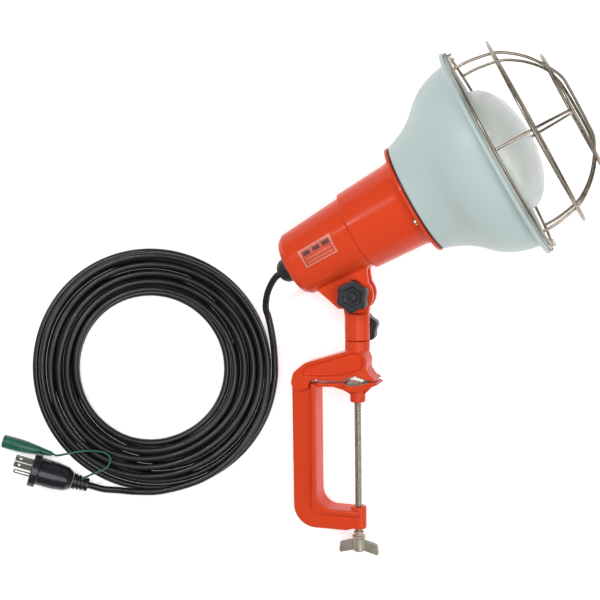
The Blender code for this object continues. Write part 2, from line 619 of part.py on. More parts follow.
def cord():
    """The lead down from the gland, the coil on the bench and the tail to the plug."""
    middle = (*COIL_CENTRE, COIL_HEIGHT / 2)
    coil = plate("cord_coil", coil_outline(COIL_OUTER), COIL_HEIGHT / 2, RUBBER, None, middle)
    hole = plate("coil_hole", coil_outline(COIL_INNER), COIL_HEIGHT, None, None, middle)
    cut(coil, hole)
    start, onward = (
        OPTIC.matrix_world @ Vector((0, 0, (GLAND_END - back) * MM)) / MM for back in (GAP, 4.0)
    )
    route = [start, onward, (-162.4, 24.0, 35.4), (-166.8, 12.2, 29.2), (-168.0, -0.6, 23.0),
             (-166.5, -12.4, 18.2)]
    wire("cord_lead", smooth(route, 8.0), CORD_RADIUS, RUBBER)
    plug_end = PLUG.matrix_world @ Vector((0, 0, (PLUG_LENGTH + GAP) * MM)) / MM
    before = PLUG.matrix_world @ Vector((0, 0, (PLUG_LENGTH + 5.0) * MM)) / MM
    tail = [plug_end, before, (-336.9, -189.0, 9.6)]
    wire("cord_tail", smooth(tail, 7.0), CORD_RADIUS, RUBBER)


def plug():
    """The plug body, its ribbed relief, two blades and the folding earth pin."""
    body = [(0, 44.0), (9.4, 44.0), (13.6, 38.0), (15.4, 26.0), (15.6, 8.0), (PLUG_RADIUS - 0.8, 8.0),
            (PLUG_RADIUS, 7.2), (PLUG_RADIUS, 0.8), (PLUG_RADIUS - 0.8, 0.0), (0, 0.0)]
    case = turned("plug_body", body, BLACK_PLASTIC, PLUG, steps=32)
    slot = block("pin_slot", (-2.9, -PLUG_RADIUS - 4, -3), (2.9, -4.4, 6.4), None, PLUG)
    blade_slots = [block(f"blade_slot_{s}", (s * 6.35 - 1.1, 1.0, -3), (s * 6.35 + 1.1, 8.0, 6), None, PLUG)
                   for s in (1, -1)]
    cut(case, slot, *blade_slots)
    ribs = [(0, PLUG_LENGTH), (7.6, PLUG_LENGTH)]
    for i in range(4):
        level = PLUG_LENGTH - 2.4 - 3.6 * i
        ribs += [(8.6, level), (8.6, level - 1.6), (7.4, level - 2.2)]
    ribs += [(7.4, 44.0 + GAP), (0, 44.0 + GAP)]
    turned("plug_relief", ribs, RUBBER, PLUG, steps=24)
    for i, s in enumerate((1, -1)):
        blade = block(f"plug_blade_{i + 1}", (s * 6.35 - 0.75, 1.4, -18.0), (s * 6.35 + 0.75, 7.6, 5.5),
                      NICKEL, PLUG)
        eye = rod(f"blade_eye_{i + 1}", 1.5, 9, -9, None, PLUG, (s * 6.35, 4.5, -12.5), (0, 90, 0), steps=12)
        cut(blade, eye)
    pin = [(0, 2.4), (2.4, 2.0), (2.4, -18.0), (1.4, -19.6), (0, -19.8)]
    turned("ground_pin", pin, NICKEL, PLUG, (0, -7.4, 3.2), steps=16)


def earth_lead():
    """The green earth lead and the boot over its clip."""
    radius = 1.15
    boot_tail, boot_mouth = Vector((-392.2, -153.0, 4.7)), Vector((-442.4, -139.0, 8.2))
    along = (boot_tail - boot_mouth).normalized()
    length = (boot_tail - boot_mouth).length
    frame = empty("boot_frame", None, boot_mouth)
    frame.rotation_mode = "QUATERNION"
    frame.rotation_quaternion = along.to_track_quat("Z", "Y")
    bpy.context.view_layer.update()
    boot = [(0, length), (2.4, length), (3.6, length * 0.84), (4.9, length * 0.68), (6.2, length * 0.5),
            (6.9, length * 0.34), (6.9, 0.0), (5.4, 0.0), (5.0, length * 0.38), (0, length * 0.4)]
    turned("earth_clip_boot", boot, GREEN, frame, steps=20)
    block("earth_clip", (-3.2, -1.4, 3.0), (3.2, 1.4, length * 0.36), NICKEL, frame)
    relief = PLUG.matrix_world @ Vector((0, 0, 55.0 * MM)) / MM
    inward = Vector((0.19, 0.57, 0.8)).normalized()
    entry = relief + inward * (8.6 + GAP + 0.1)
    start = boot_tail + along * GAP
    route = [start, start + along * 3.0, (-387.1, -153.6, 11.0), (-380.2, -152.4, 16.8),
             (-360.6, -148.8, 17.0), (-345.1, -148.3, 17.0), (-334.7, -150.3, 17.0), (-329.2, -156.2, 17.0),
             (-332.7, -165.3, 17.0), (-339.9, -169.0, 17.4), (-348.2, -172.2, 19.4), entry + inward * 2.4,
             entry]
    wire("earth_lead", smooth(route, 5.0), radius, GREEN)


# ---------------------------------------------------------------- the lamp

clear_scene()
LAMP = collection("work_light")
CUTTERS = collection("cutters")
FRAMES = collection("frames")
CUTTERS.hide_render = True

RED_PAINT = material("red_paint", (0.72, 0.075, 0.025), 0.28)
SHADE_PAINT = material("shade_paint", (0.52, 0.62, 0.6), 0.35)
CHROMATE = material("chromate_plate", (0.42, 0.37, 0.24), 0.32, 1.0)
ZINC = material("zinc_plate", (0.56, 0.56, 0.54), 0.3, 1.0)
NICKEL = material("nickel_plate", (0.72, 0.7, 0.66), 0.2, 1.0)
BRASS = material("brass", (0.66, 0.48, 0.2), 0.3, 1.0)
GLASS = material("frosted_glass", (0.78, 0.8, 0.78), 0.4)
PORCELAIN = material("porcelain", (0.85, 0.84, 0.8), 0.25)
RUBBER = material("black_rubber", (0.012, 0.013, 0.014), 0.35)
BLACK_PLASTIC = material("black_plastic", (0.02, 0.022, 0.026), 0.4)
GREEN = material("green_vinyl", (0.01, 0.13, 0.07), 0.35)

HEAD = empty("head", None, (*LIP_CENTRE, LIP_RADIUS * math.cos(math.radians(LAMP_PITCH)) + 0.35),
             (0, -LAMP_PITCH, LAMP_YAW))
OPTIC = empty("optic", HEAD, turn=(0, 90, 0))
STAND = empty("stand", HEAD, (*PIVOT, 0))
STAND.matrix_local = (
    Matrix.Translation(Vector((*PIVOT, 0)) * MM)
    @ Matrix.Rotation(math.radians(POST_ANGLE), 4, "Z")
    @ Matrix(((0, 0, -1, 0), (1, 0, 0, 0), (0, -1, 0, 0), (0, 0, 0, 1)))
)
LOCK = empty("lock", STAND, (0, 0, LOCK_LEVEL), (0, 90, LOCK_ANGLE))
CLAMP = empty("clamp", STAND, turn=(0, 0, SWIVEL_REST))
PLUG = empty("plug", None, PLUG_FACE)
PLUG.matrix_local = (
    Matrix.Translation(Vector(PLUG_FACE) * MM)
    @ Matrix.Rotation(math.radians(PLUG_YAW), 4, "Z")
    @ Matrix.Rotation(math.radians(90 + PLUG_PITCH), 4, "Y")
    @ Matrix.Rotation(math.radians(180 + PLUG_ROLL), 4, "Z")
)
bpy.context.view_layer.update()

lamp_housing()
shade()
bulb()
lamp_holder()
gland_and_wiring()
guard()
guard_clips()
tilt_hinge()
swivel_yoke()
swivel_lock()
clamp_frame()
moving_jaw()
clamp_screw()
cord()
plug()
earth_lead()
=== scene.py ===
"""Looks of the clamp-on work light: fine meshes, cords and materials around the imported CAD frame.

Lengths are millimetres and angles are degrees, as in the part's own source; MM turns them into metres.
The frames (head, optic, stand, lock, clamp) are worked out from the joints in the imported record.
"""

import json
import math

import bmesh
import bpy
from mathutils import Matrix, Vector


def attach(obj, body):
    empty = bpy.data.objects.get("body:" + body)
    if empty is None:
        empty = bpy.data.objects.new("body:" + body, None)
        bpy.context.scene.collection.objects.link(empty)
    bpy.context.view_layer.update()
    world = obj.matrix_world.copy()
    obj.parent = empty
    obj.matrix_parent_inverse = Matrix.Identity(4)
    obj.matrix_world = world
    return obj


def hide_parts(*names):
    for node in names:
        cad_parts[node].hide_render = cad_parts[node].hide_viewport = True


MM = 0.001
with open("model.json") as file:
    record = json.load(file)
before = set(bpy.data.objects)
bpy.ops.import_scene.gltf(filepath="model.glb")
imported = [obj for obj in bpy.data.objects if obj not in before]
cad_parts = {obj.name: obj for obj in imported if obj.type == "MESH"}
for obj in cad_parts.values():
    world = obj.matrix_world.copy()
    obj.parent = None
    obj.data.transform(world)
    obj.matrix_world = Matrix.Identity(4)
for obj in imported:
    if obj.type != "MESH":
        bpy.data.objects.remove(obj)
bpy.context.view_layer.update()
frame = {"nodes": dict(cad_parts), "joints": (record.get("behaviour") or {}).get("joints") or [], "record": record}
NODES = frame["nodes"]
JOINTS = {joint["name"]: joint for joint in frame["joints"]}

# Camera and stage
CAMERA_AT = (-132.8, 8.1, 1215.0)
CAMERA_LENS = 69.4
WORLD_LIGHT = 0.15
FLOOR_GLOW = 0.5
FLOOR_HALF, FLOOR_DEPTH = 4000, 10
# name, bearing round the vertical, tilt off it, distance, bearing of its long side, length, width, watts
SOFTBOXES = (
    ("key", 150, 38, 1.7, 28.8, 0.9, 0.12, 9.5),
    ("fill", -35, 50, 1.8, 55, 0.8, 0.8, 5.0),
    ("overhead", -40, 10, 2.0, 0, 1.5, 1.5, 20.0),
)

# Head
FLANGE_RADIUS, FLANGE_FRONT = 56.7, -90.0
FRONT_BARREL, REAR_BARREL = (44.4, 41.3), (38.0, 33.4)
BARREL_STEP, HOUSING_END = -156.0, -233.0
HOUSING_WALL = 3.5
GLAND_RADIUS, GLAND_END = 14.2, -247.0
PIVOT = (-187.1, -54.6)
EAR_RADIUS, EAR_INNER, EAR_OUTER = 18.4, 6.8, 12.8
SHADE_COAT = 0.6
BULB_RADIUS, BULB_APEX, BULB_DEPTH = 63.5, 35.5, 31.5
BULB_TAPER, BULB_BACK = 43.0, 92.0
GLASS_WALL = 1.0

# Guard
WIRE = 1.4
BASE_RING, MIDDLE_RING, FRONT_RING = (101.5, 3.7), (95.8, 41.0), (59.8, 78.8)
WELDS = ((99.9, 3.7), (94.1, 41.0), (58.1, 77.3))
BOW_STACK = 3.2

# Stand and clamp
KNOB_RADIUS, KNOB_LOBE, KNOB_HEIGHT = 15.4, 1.2, 15.0
POST_RADIUS, POST_TOP, POST_BOTTOM = 12.6, -19.3, -46.6
SPINE_INNER, SPINE_OUTER = -41.2, -68.6
ARM_TOP, ARM_BOTTOM = -221.2, -244.4
SPINE_BEND, SPINE_FILLET = 23.0, 16.0
RIB_WIDTH, FLANGE_BAND = 21.8, 5.2
ARM_HALF, FLANGE_HALF = 11.8, 13.5
TEETH, TOOTH_DEPTH = 6, 1.1
SCREW_PITCH, SCREW_MAJOR, SCREW_MINOR = 2.5, 3.9, 3.0

# Cord
CORD_RADIUS = 3.5
COIL_CENTRE = (-284.4, -65.0)
COIL_LOW, COIL_HIGH = 3.6, 10.6
KNOTS_PER_TURN = 24
LOW_START, LOW_TURNS, LOW_OUTER, LOW_PITCH = -20.0, 7.1, 124.9, 7.12
HIGH_END, HIGH_OUTER = -4325.0, 118.3
COIL_BULGE, COIL_BULGE_AT = 5.5, 132.0
LOOSE_SWAY = 2.6
PLUG_FACE = (-410.8, -166.2, 20.5)
PLUG_YAW, PLUG_PITCH, PLUG_ROLL = -17.9, 10.5, -162.0
PLUG_LENGTH = 61.0
EARTH_RADIUS = 1.15
BOOT_TAIL, BOOT_MOUTH = (-392.2, -153.0, 4.7), (-442.4, -139.0, 8.2)


# ---------------------------------------------------------------- frames


def basis(origin, x, z):
    """A matrix in metres with these x and z axes."""
    z = Vector(z).normalized()
    y = z.cross(Vector(x)).normalized()
    x = y.cross(z)
    turn = Matrix((x, y, z)).transposed().to_4x4()
    return Matrix.Translation(Vector(origin)) @ turn


def joint_axis(name):
    return Vector(JOINTS[name]["axis"])


def head_frame():
    """X along the optical axis, Y level, Z along the tilt hinge, origin at the middle of the lip."""
    up = joint_axis("head_tilt")
    level = Vector((-up.x, -up.y, 0)).normalized()
    along = Vector((-level.y, level.x, 0)).cross(up)
    turn = basis((0, 0, 0), along, up)
    pivot = Vector(JOINTS["head_tilt"]["pos_m"])
    return Matrix.Translation(pivot - turn @ (Vector((*PIVOT, 0)) * MM)) @ turn


HEAD = head_frame()
OPTIC = HEAD @ Matrix.Rotation(math.radians(90), 4, "Y")
PIVOT_AT = Vector(JOINTS["head_tilt"]["pos_m"])
POST_DOWN = joint_axis("clamp_swivel")
STAND = basis(PIVOT_AT, joint_axis("head_tilt").cross(POST_DOWN), -POST_DOWN)
CLAMP = basis(PIVOT_AT, frame["record"]["mounts"][0]["axis"], -POST_DOWN)
TILT = HEAD @ Matrix.Translation(Vector((*PIVOT, 0)) * MM)
LOCK_OUT = joint_axis("swivel_knob_turn")
LOCK = basis(Vector(JOINTS["swivel_knob_turn"]["pos_m"]) - LOCK_OUT * 20 * MM, POST_DOWN, LOCK_OUT)
PLUG = (
    Matrix.Translation(Vector(PLUG_FACE) * MM)
    @ Matrix.Rotation(math.radians(PLUG_YAW), 4, "Z")
    @ Matrix.Rotation(math.radians(90 + PLUG_PITCH), 4, "Y")
    @ Matrix.Rotation(math.radians(180 + PLUG_ROLL), 4, "Z")
)
UPRIGHT = Matrix.Rotation(math.radians(90), 4, "X")


def spot(space, *where):
    """A point of a frame, in millimetres of the row frame."""
    return space @ (Vector(where) * MM) / MM


# ---------------------------------------------------------------- outlines and paths


def arc(centre, radius, start, end, count):
    """Points of a circle's arc from one bearing to another."""
    angles = [math.radians(start + (end - start) * i / (count - 1)) for i in range(count)]
    return [(centre[0] + radius * math.cos(a), centre[1] + radius * math.sin(a)) for a in angles]


def rounded(points, closed=False, steps=5):
    """A polyline whose corners are filleted where a point has a third value, its radius."""
    path = []
    count = len(points)
    for i, point in enumerate(points):
        here = Vector(point[:2])
        inner = closed or 0 < i < count - 1
        if len(point) < 3 or not inner:
            path.append(tuple(here))
            continue
        before = Vector(points[i - 1][:2]) - here
        after = Vector(points[(i + 1) % count][:2]) - here
        reach = min(point[2] / math.tan(before.angle(after) / 2), before.length * 0.49, after.length * 0.49)
        first, last = here + before.normalized() * reach, here + after.normalized() * reach
        for k in range(steps + 1):
            t = k / steps
            path.append(tuple(first * (1 - t) ** 2 + here * 2 * t * (1 - t) + last * t * t))
    return path


def smooth(points, spacing):
    """A Catmull-Rom curve through points, read about every spacing."""
    knots = [Vector(p) for p in points]
    knots = [2 * knots[0] - knots[1], *knots, 2 * knots[-1] - knots[-2]]
    path = []
    for a, b, c, d in zip(knots, knots[1:], knots[2:], knots[3:]):
        count = max(1, round((c - b).length / spacing))
        for i in range(count):
            t = i / count
            path.append(0.5 * (2 * b + (c - a) * t + (2 * a - 5 * b + 4 * c - d) * t**2
                               + (3 * b - a - 3 * c + d) * t**3))
    return path + [knots[-2]]


# ---------------------------------------------------------------- meshes


def added(obj):
    """The object, made part of the scene."""
    bpy.context.scene.collection.objects.link(obj)
    return obj


def finish_mesh(name, shape, space, paint, angle=35):
    """Writes a bmesh in millimetres of a frame as an object in metres, shaded smooth up to angle."""
    bmesh.ops.remove_doubles(shape, verts=shape.verts, dist=0.0005)
    bmesh.ops.recalc_face_normals(shape, faces=shape.faces)
    mesh = bpy.data.meshes.new(name)
    shape.to_mesh(mesh)
    shape.free()
    mesh.transform(space @ Matrix.Scale(MM, 4))
    obj = added(bpy.data.objects.new(name, mesh))
    if paint:
        mesh.materials.append(paint)
    mesh.shade_smooth()
    mesh.set_sharp_from_angle(angle=math.radians(angle))
    return obj


def lathe(name, profile, space, paint, steps=96, loop=False, ripple=None, angle=35):
    """A shape turned about Z from (radius, height) pairs. ripple(angle, height) scales the radius."""
    shape = bmesh.new()
    rings = []
    for radius, height in profile:
        ring = []
        for k in range(steps):
            a = 2 * math.pi * k / steps
            r = radius * (ripple(a, height) if ripple else 1)
            ring.append(shape.verts.new((r * math.cos(a), r * math.sin(a), height)))
            if radius == 0:
                ring = ring * steps
                break
        rings.append(ring)
    pairs = list(zip(rings, rings[1:])) + ([(rings[-1], rings[0])] if loop else [])
    for upper, lower in pairs:
        for k in range(steps):
            corners = [upper[k], upper[(k + 1) % steps], lower[(k + 1) % steps], lower[k]]
            unique = [v for i, v in enumerate(corners) if v not in corners[:i]]
            if len(unique) > 2:
                shape.faces.new(unique)
    return finish_mesh(name, shape, space, paint, angle)


def prism(name, outline, half, space, paint=None, bevel=0.0, at=0.0):
    """An outline in XY of a frame with material half above and half below, its edges bevelled."""
    shape = bmesh.new()
    ring = [shape.verts.new((x, y, at - half)) for x, y in outline]
    face = shape.faces.new(ring)
    lifted = bmesh.ops.extrude_face_region(shape, geom=[face])
    bmesh.ops.translate(shape, verts=[g for g in lifted["geom"] if isinstance(g, bmesh.types.BMVert)],
                        vec=(0, 0, 2 * half))
    if bevel:
        bmesh.ops.recalc_face_normals(shape, faces=shape.faces)
        rim = [e for e in shape.edges if len({round(v.co.z, 4) for v in e.verts}) == 1]
        bmesh.ops.bevel(shape, geom=rim, offset=bevel, segments=3, profile=0.5, affect="EDGES",
                        clamp_overlap=True)
    return finish_mesh(name, shape, space, paint)


def cube(name, low, high, space, paint=None):
    (x0, y0, z0), (x1, y1, z1) = low, high
    outline = [(x0, y0), (x1, y0), (x1, y1), (x0, y1)]
    return prism(name, outline, (z1 - z0) / 2, space, paint, at=(z1 + z0) / 2)


def tube(name, points, radius, paint, loop=False, resolution=4):
    """A round wire through points in millimetres of the row frame."""
    curve = bpy.data.curves.new(name, "CURVE")
    curve.dimensions = "3D"
    curve.bevel_depth = radius * MM
    curve.bevel_resolution = resolution
    curve.use_fill_caps = True
    spline = curve.splines.new("POLY")
    spline.points.add(len(points) - 1)
    spline.use_cyclic_u = loop
    for point, where in zip(spline.points, points):
        point.co = (*(Vector(where) * MM), 1.0)
    spline.use_smooth = True
    curve.materials.append(paint)
    return added(bpy.data.objects.new(name, curve))


def applied(obj):
    """The object with its modifiers made part of its mesh."""
    bpy.context.view_layer.update()
    graph = bpy.context.evaluated_depsgraph_get()
    mesh = bpy.data.meshes.new_from_object(obj.evaluated_get(graph))
    obj.modifiers.clear()
    obj.data = mesh
    return obj


def carve(obj, *cutters):
    """Cuts closed meshes out of a closed mesh and removes them."""
    for cutter in cutters:
        step = obj.modifiers.new("cut", "BOOLEAN")
        step.operation = "DIFFERENCE"
        step.object = cutter
    applied(obj)
    for cutter in cutters:
        bpy.data.objects.remove(cutter, do_unlink=True)
    return obj


def merged(name, pieces):
    """Several meshes as one object, each still its own shell."""
    shape = bmesh.new()
    paints = []
    for piece in pieces:
        offset = len(shape.faces)
        paint = piece.data.materials[0] if piece.data.materials else None
        if paint not in paints:
            paints.append(paint)
        shape.from_mesh(piece.data)
        shape.faces.ensure_lookup_table()
        for face in shape.faces[offset:]:
            face.material_index = paints.index(paint)
    mesh = bpy.data.meshes.new(name)
    shape.to_mesh(mesh)
    shape.free()
    for paint in paints:
        if paint:
            mesh.materials.append(paint)
    for piece in pieces:
        bpy.data.objects.remove(piece, do_unlink=True)
    return added(bpy.data.objects.new(name, mesh))


def casting(name, pieces, paint, voxel, soften, keep, cutters=()):
    """Closed meshes fused into one skin with soft edges and fillets, as a casting or a moulding has."""
    obj = merged(name, pieces)
    remesh = obj.modifiers.new("fuse", "REMESH")
    remesh.mode = "VOXEL"
    remesh.voxel_size = voxel * MM
    remesh.use_smooth_shade = True
    relax = obj.modifiers.new("soften", "SMOOTH")
    relax.factor = 0.5
    relax.iterations = soften
    thin = obj.modifiers.new("thin", "DECIMATE")
    thin.ratio = keep
    applied(obj)
    if cutters:
        carve(obj, *cutters)
    obj.data.materials.clear()
    obj.data.materials.append(paint)
    obj.data.shade_smooth()
    obj.data.set_sharp_from_angle(angle=math.radians(50))
    return obj


def put(obj, body, slot, *nodes):
    """Rides a body and stands for CAD nodes, whose own meshes it hides; slot is not used."""
    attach(obj, body)
    if nodes:
        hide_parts(*nodes)
    return obj


# ---------------------------------------------------------------- materials


class Surface:
    """A Principled material whose colour, roughness and relief come from noise in object space."""

    def __init__(self, name, colour, roughness, metallic=0.0, **constants):
        self.material = bpy.data.materials.new(name)
        self.material.use_nodes = True
        self.tree = self.material.node_tree
        self.shader = self.tree.nodes["Principled BSDF"]
        self.shader.inputs["Base Color"].default_value = (*colour, 1)
        self.shader.inputs["Roughness"].default_value = roughness
        self.shader.inputs["Metallic"].default_value = metallic
        for socket, value in constants.items():
            self.shader.inputs[socket.replace("_", " ")].default_value = value
        self.place = self.add("ShaderNodeTexCoord").outputs["Object"]

    def add(self, kind):
        return self.tree.nodes.new(kind)

    def link(self, source, target):
        self.tree.links.new(source, target)

    def noise(self, scale, detail=4.0, rough=0.5):
        node = self.add("ShaderNodeTexNoise")
        node.inputs["Scale"].default_value = scale
        node.inputs["Detail"].default_value = detail
        node.inputs["Roughness"].default_value = rough
        self.link(self.place, node.inputs["Vector"])
        return node.outputs["Fac"]

    def ramp(self, value, low, high, start=0.35, end=0.65):
        """A socket that runs from low to high while the value runs from start to end."""
        node = self.add("ShaderNodeMapRange")
        for socket, number in (("From Min", start), ("From Max", end), ("To Min", low), ("To Max", high)):
            node.inputs[socket].default_value = number
        self.link(value, node.inputs["Value"])
        return node.outputs["Result"]

    def mix(self, factor, other):
        """Blends another colour over the base colour by a factor socket."""
        node = self.add("ShaderNodeMix")
        node.data_type = "RGBA"
        base = self.shader.inputs["Base Color"]
        if base.is_linked:
            self.link(base.links[0].from_socket, node.inputs["A"])
        else:
            node.inputs["A"].default_value = base.default_value
        node.inputs["B"].default_value = (*other, 1)
        self.link(factor, node.inputs["Factor"])
        self.link(node.outputs["Result"], base)
        return self

    def clouds(self, colour, scale, amount, start, end, detail=3.0):
        """Patches of another colour where the noise passes from start to end."""
        return self.mix(self.ramp(self.noise(scale, detail), 0.0, amount, start, end), colour)

    def vary_roughness(self, scale, low, high):
        self.link(self.ramp(self.noise(scale), low, high), self.shader.inputs["Roughness"])
        return self

    def relief(self, scale, height, strength, detail=2.0):
        """Fine unevenness, its height in millimetres."""
        value = self.noise(scale, detail)
        bump = self.add("ShaderNodeBump")
        bump.inputs["Strength"].default_value = strength
        bump.inputs["Distance"].default_value = height * MM
        self.link(value, bump.inputs["Height"])
        self.link(bump.outputs["Normal"], self.shader.inputs["Normal"])
        return self

    def edges(self, colour):
        """Wear on convex edges, broken up by noise."""
        point = self.add("ShaderNodeNewGeometry").outputs["Pointiness"]
        worn = self.ramp(point, 0.0, 1.0, 0.52, 0.6)
        patchy = self.ramp(self.noise(260.0, 6.0, 0.7), 0.0, 1.0, 0.5, 0.62)
        both = self.add("ShaderNodeMath")
        both.operation = "MULTIPLY"
        self.link(worn, both.inputs[0])
        self.link(patchy, both.inputs[1])
        return self.mix(both.outputs[0], colour)


def red_enamel():
    """Glossy orange-red enamel on the castings and the housing, worn darker on its edges."""
    s = Surface("red_enamel", (0.78, 0.07, 0.021), 0.2, IOR=1.24)
    s.clouds((0.72, 0.055, 0.018), scale=9.0, amount=0.35, start=0.4, end=0.7)
    s.clouds((0.55, 0.045, 0.02), scale=1500.0, amount=0.35, start=0.66, end=0.72, detail=2.0)
    s.vary_roughness(30.0, 0.14, 0.24)
    s.relief(scale=420.0, height=0.04, strength=0.3)
    s.edges((0.3, 0.03, 0.02))
    return s.material


def shade_enamel():
    """Satin grey-green enamel on the outside of the shade."""
    s = Surface("shade_enamel", (0.53, 0.645, 0.63), 0.42, Coat_Weight=0.05, Coat_Roughness=0.25,
                Specular_IOR_Level=0.35)
    s.clouds((0.49, 0.6, 0.59), scale=7.0, amount=0.3, start=0.4, end=0.7)
    s.clouds((0.36, 0.45, 0.44), scale=900.0, amount=0.3, start=0.67, end=0.74)
    s.vary_roughness(24.0, 0.34, 0.46)
    s.relief(scale=520.0, height=0.04, strength=0.3)
    return s.material


def white_enamel():
    """White enamel inside the shade."""
    s = Surface("white_enamel", (0.8, 0.82, 0.8), 0.3, Coat_Weight=0.3, Coat_Roughness=0.15)
    s.clouds((0.72, 0.75, 0.74), scale=12.0, amount=0.3, start=0.4, end=0.7)
    s.relief(scale=420.0, height=0.04, strength=0.3)
    return s.material


def plated(name, colour, warm, green, roughness, metallic=1.0):
    """Passivated plating, whose tint drifts between a warm and a green cast."""
    s = Surface(name, colour, roughness, metallic)
    s.clouds(warm, scale=55.0, amount=0.75, start=0.42, end=0.62)
    s.clouds(green, scale=80.0, amount=0.6, start=0.5, end=0.68)
    s.vary_roughness(180.0, roughness * 0.7, roughness * 1.4)
    s.relief(scale=1500.0, height=0.02, strength=0.3, detail=3.0)
    return s.material


def bright_metal(name, colour, roughness):
    """Plain bright metal with darker, duller patches."""
    s = Surface(name, colour, roughness, 1.0)
    darker = tuple(0.72 * c for c in colour)
    s.clouds(darker, scale=90.0, amount=0.4, start=0.45, end=0.7, detail=4.0)
    s.vary_roughness(260.0, roughness * 0.7, roughness * 1.4)
    s.relief(scale=900.0, height=0.015, strength=0.3, detail=3.0)
    return s.material


def frosted_glass():
    """Glass that is milky from its frosted coat."""
    s = Surface("frosted_glass", (0.78, 0.82, 0.78), 0.38, Transmission_Weight=0.1, IOR=1.45,
                Coat_Weight=0.5, Coat_Roughness=0.12)
    s.clouds((0.7, 0.75, 0.72), scale=14.0, amount=0.3, start=0.4, end=0.7)
    s.relief(scale=1400.0, height=0.02, strength=0.25)
    return s.material


def black_vinyl():
    """The power cord's sheath."""
    s = Surface("black_vinyl", (0.009, 0.0095, 0.0105), 0.3)
    s.clouds((0.02, 0.021, 0.023), scale=45.0, amount=0.6, start=0.45, end=0.75, detail=4.0)
    s.vary_roughness(60.0, 0.22, 0.42)
    s.relief(scale=160.0, height=0.05, strength=0.25, detail=3.0)
    return s.material


def moulded(name, colour, roughness, grain=900.0):
    """Plastic or rubber with a fine grain and slightly paler patches."""
    s = Surface(name, colour, roughness)
    paler = tuple(min(1, 1.5 * c + 0.004) for c in colour)
    s.clouds(paler, scale=60.0, amount=0.6, start=0.42, end=0.7, detail=4.0)
    s.vary_roughness(200.0, roughness * 0.8, roughness * 1.25)
    s.relief(scale=grain, height=0.05, strength=0.4)
    return s.material


def stage_paint():
    """The pale floor, which glows a little so that it stays near white."""
    s = Surface("pale_floor", (0.88, 0.88, 0.88), 0.6, Emission_Color=(1, 1, 1, 1),
                Emission_Strength=FLOOR_GLOW)
    s.relief(scale=60.0, height=0.02, strength=0.1)
    return s.material


RED = red_enamel()
SHADE = shade_enamel()
WHITE = white_enamel()
CHROMATE = plated("chromate", (0.36, 0.31, 0.24), (0.4, 0.3, 0.25), (0.27, 0.3, 0.24), 0.3)
BRIGHT = plated("bright_chromate", (0.5, 0.45, 0.36), (0.5, 0.36, 0.37), (0.4, 0.44, 0.22), 0.42, 0.6)
STEEL = plated("screw_steel", (0.42, 0.41, 0.34), (0.44, 0.38, 0.32), (0.34, 0.38, 0.31), 0.36, 0.8)
ZINC = bright_metal("zinc", (0.56, 0.56, 0.54), 0.3)
NICKEL = bright_metal("nickel", (0.74, 0.72, 0.68), 0.18)
BRASS = bright_metal("brass", (0.68, 0.48, 0.18), 0.28)
GLASS = frosted_glass()
VINYL = black_vinyl()
BLACK = moulded("black_moulding", (0.017, 0.02, 0.026), 0.36)
GLOSSY = moulded("glossy_black", (0.012, 0.014, 0.018), 0.2, 300.0)
RUBBER = moulded("black_rubber", (0.014, 0.014, 0.015), 0.5)
GREEN = moulded("green_vinyl", (0.016, 0.105, 0.07), 0.28, 300.0)
PORCELAIN = moulded("porcelain", (0.8, 0.79, 0.74), 0.2)
PLATE = moulded("label_plate", (0.62, 0.075, 0.035), 0.35)
PLATE_LINE = moulded("label_line", (0.7, 0.42, 0.34), 0.45)
PLATE_CELL = moulded("label_cell", (0.1, 0.03, 0.02), 0.5)
GASKET = moulded("gasket_red", (0.14, 0.016, 0.01), 0.5)


# ---------------------------------------------------------------- camera, light and floor


def camera():
    """The camera looks straight down."""
    lens = bpy.data.cameras.new("camera")
    lens.lens = CAMERA_LENS
    lens.sensor_width = 36
    lens.clip_end = 20
    viewer = added(bpy.data.objects.new("camera", lens))
    viewer.location = Vector(CAMERA_AT) * MM
    bpy.context.scene.camera = viewer


def floor_and_world():
    """A plain pale floor under an even, dim white sky."""
    low, high = (-FLOOR_HALF, -FLOOR_HALF, -FLOOR_DEPTH), (FLOOR_HALF, FLOOR_HALF, 0)
    floor = cube("floor", low, high, Matrix(), stage_paint())
    world = bpy.data.worlds.new("studio")
    world.use_nodes = True
    world.node_tree.nodes["Background"].inputs["Color"].default_value = (1, 1, 1, 1)
    world.node_tree.nodes["Background"].inputs["Strength"].default_value = WORLD_LIGHT
    bpy.context.scene.world = world
    bpy.context.scene.view_settings.view_transform = "Standard"


def softboxes():
    """Rectangular area lights that all face the origin."""
    for name, bearing, tilt, distance, long_side, length, width, watts in SOFTBOXES:
        light = bpy.data.lights.new(name, "AREA")
        light.shape = "RECTANGLE"
        light.size, light.size_y = length, width
        light.energy = watts
        lamp = added(bpy.data.objects.new(name, light))
        turn = Matrix.Rotation(math.radians(bearing), 3, "Z") @ Matrix.Rotation(math.radians(tilt), 3, "Y")
        away = turn @ Vector((0, 0, 1))
        side = Matrix.Rotation(math.radians(long_side), 3, "Z") @ Vector((1, 0, 0))
        lamp.matrix_world = basis(away * distance, side, away)


# ---------------------------------------------------------------- cords


def coil_point(turn, radius, height):
    """A point of the coil, which bulges a little towards its far left."""
    a = math.radians(turn)
    radius += COIL_BULGE * (0.5 + 0.5 * math.cos(a - math.radians(COIL_BULGE_AT))) ** 3
    return (COIL_CENTRE[0] + radius * math.cos(a), COIL_CENTRE[1] + radius * math.sin(a), height)


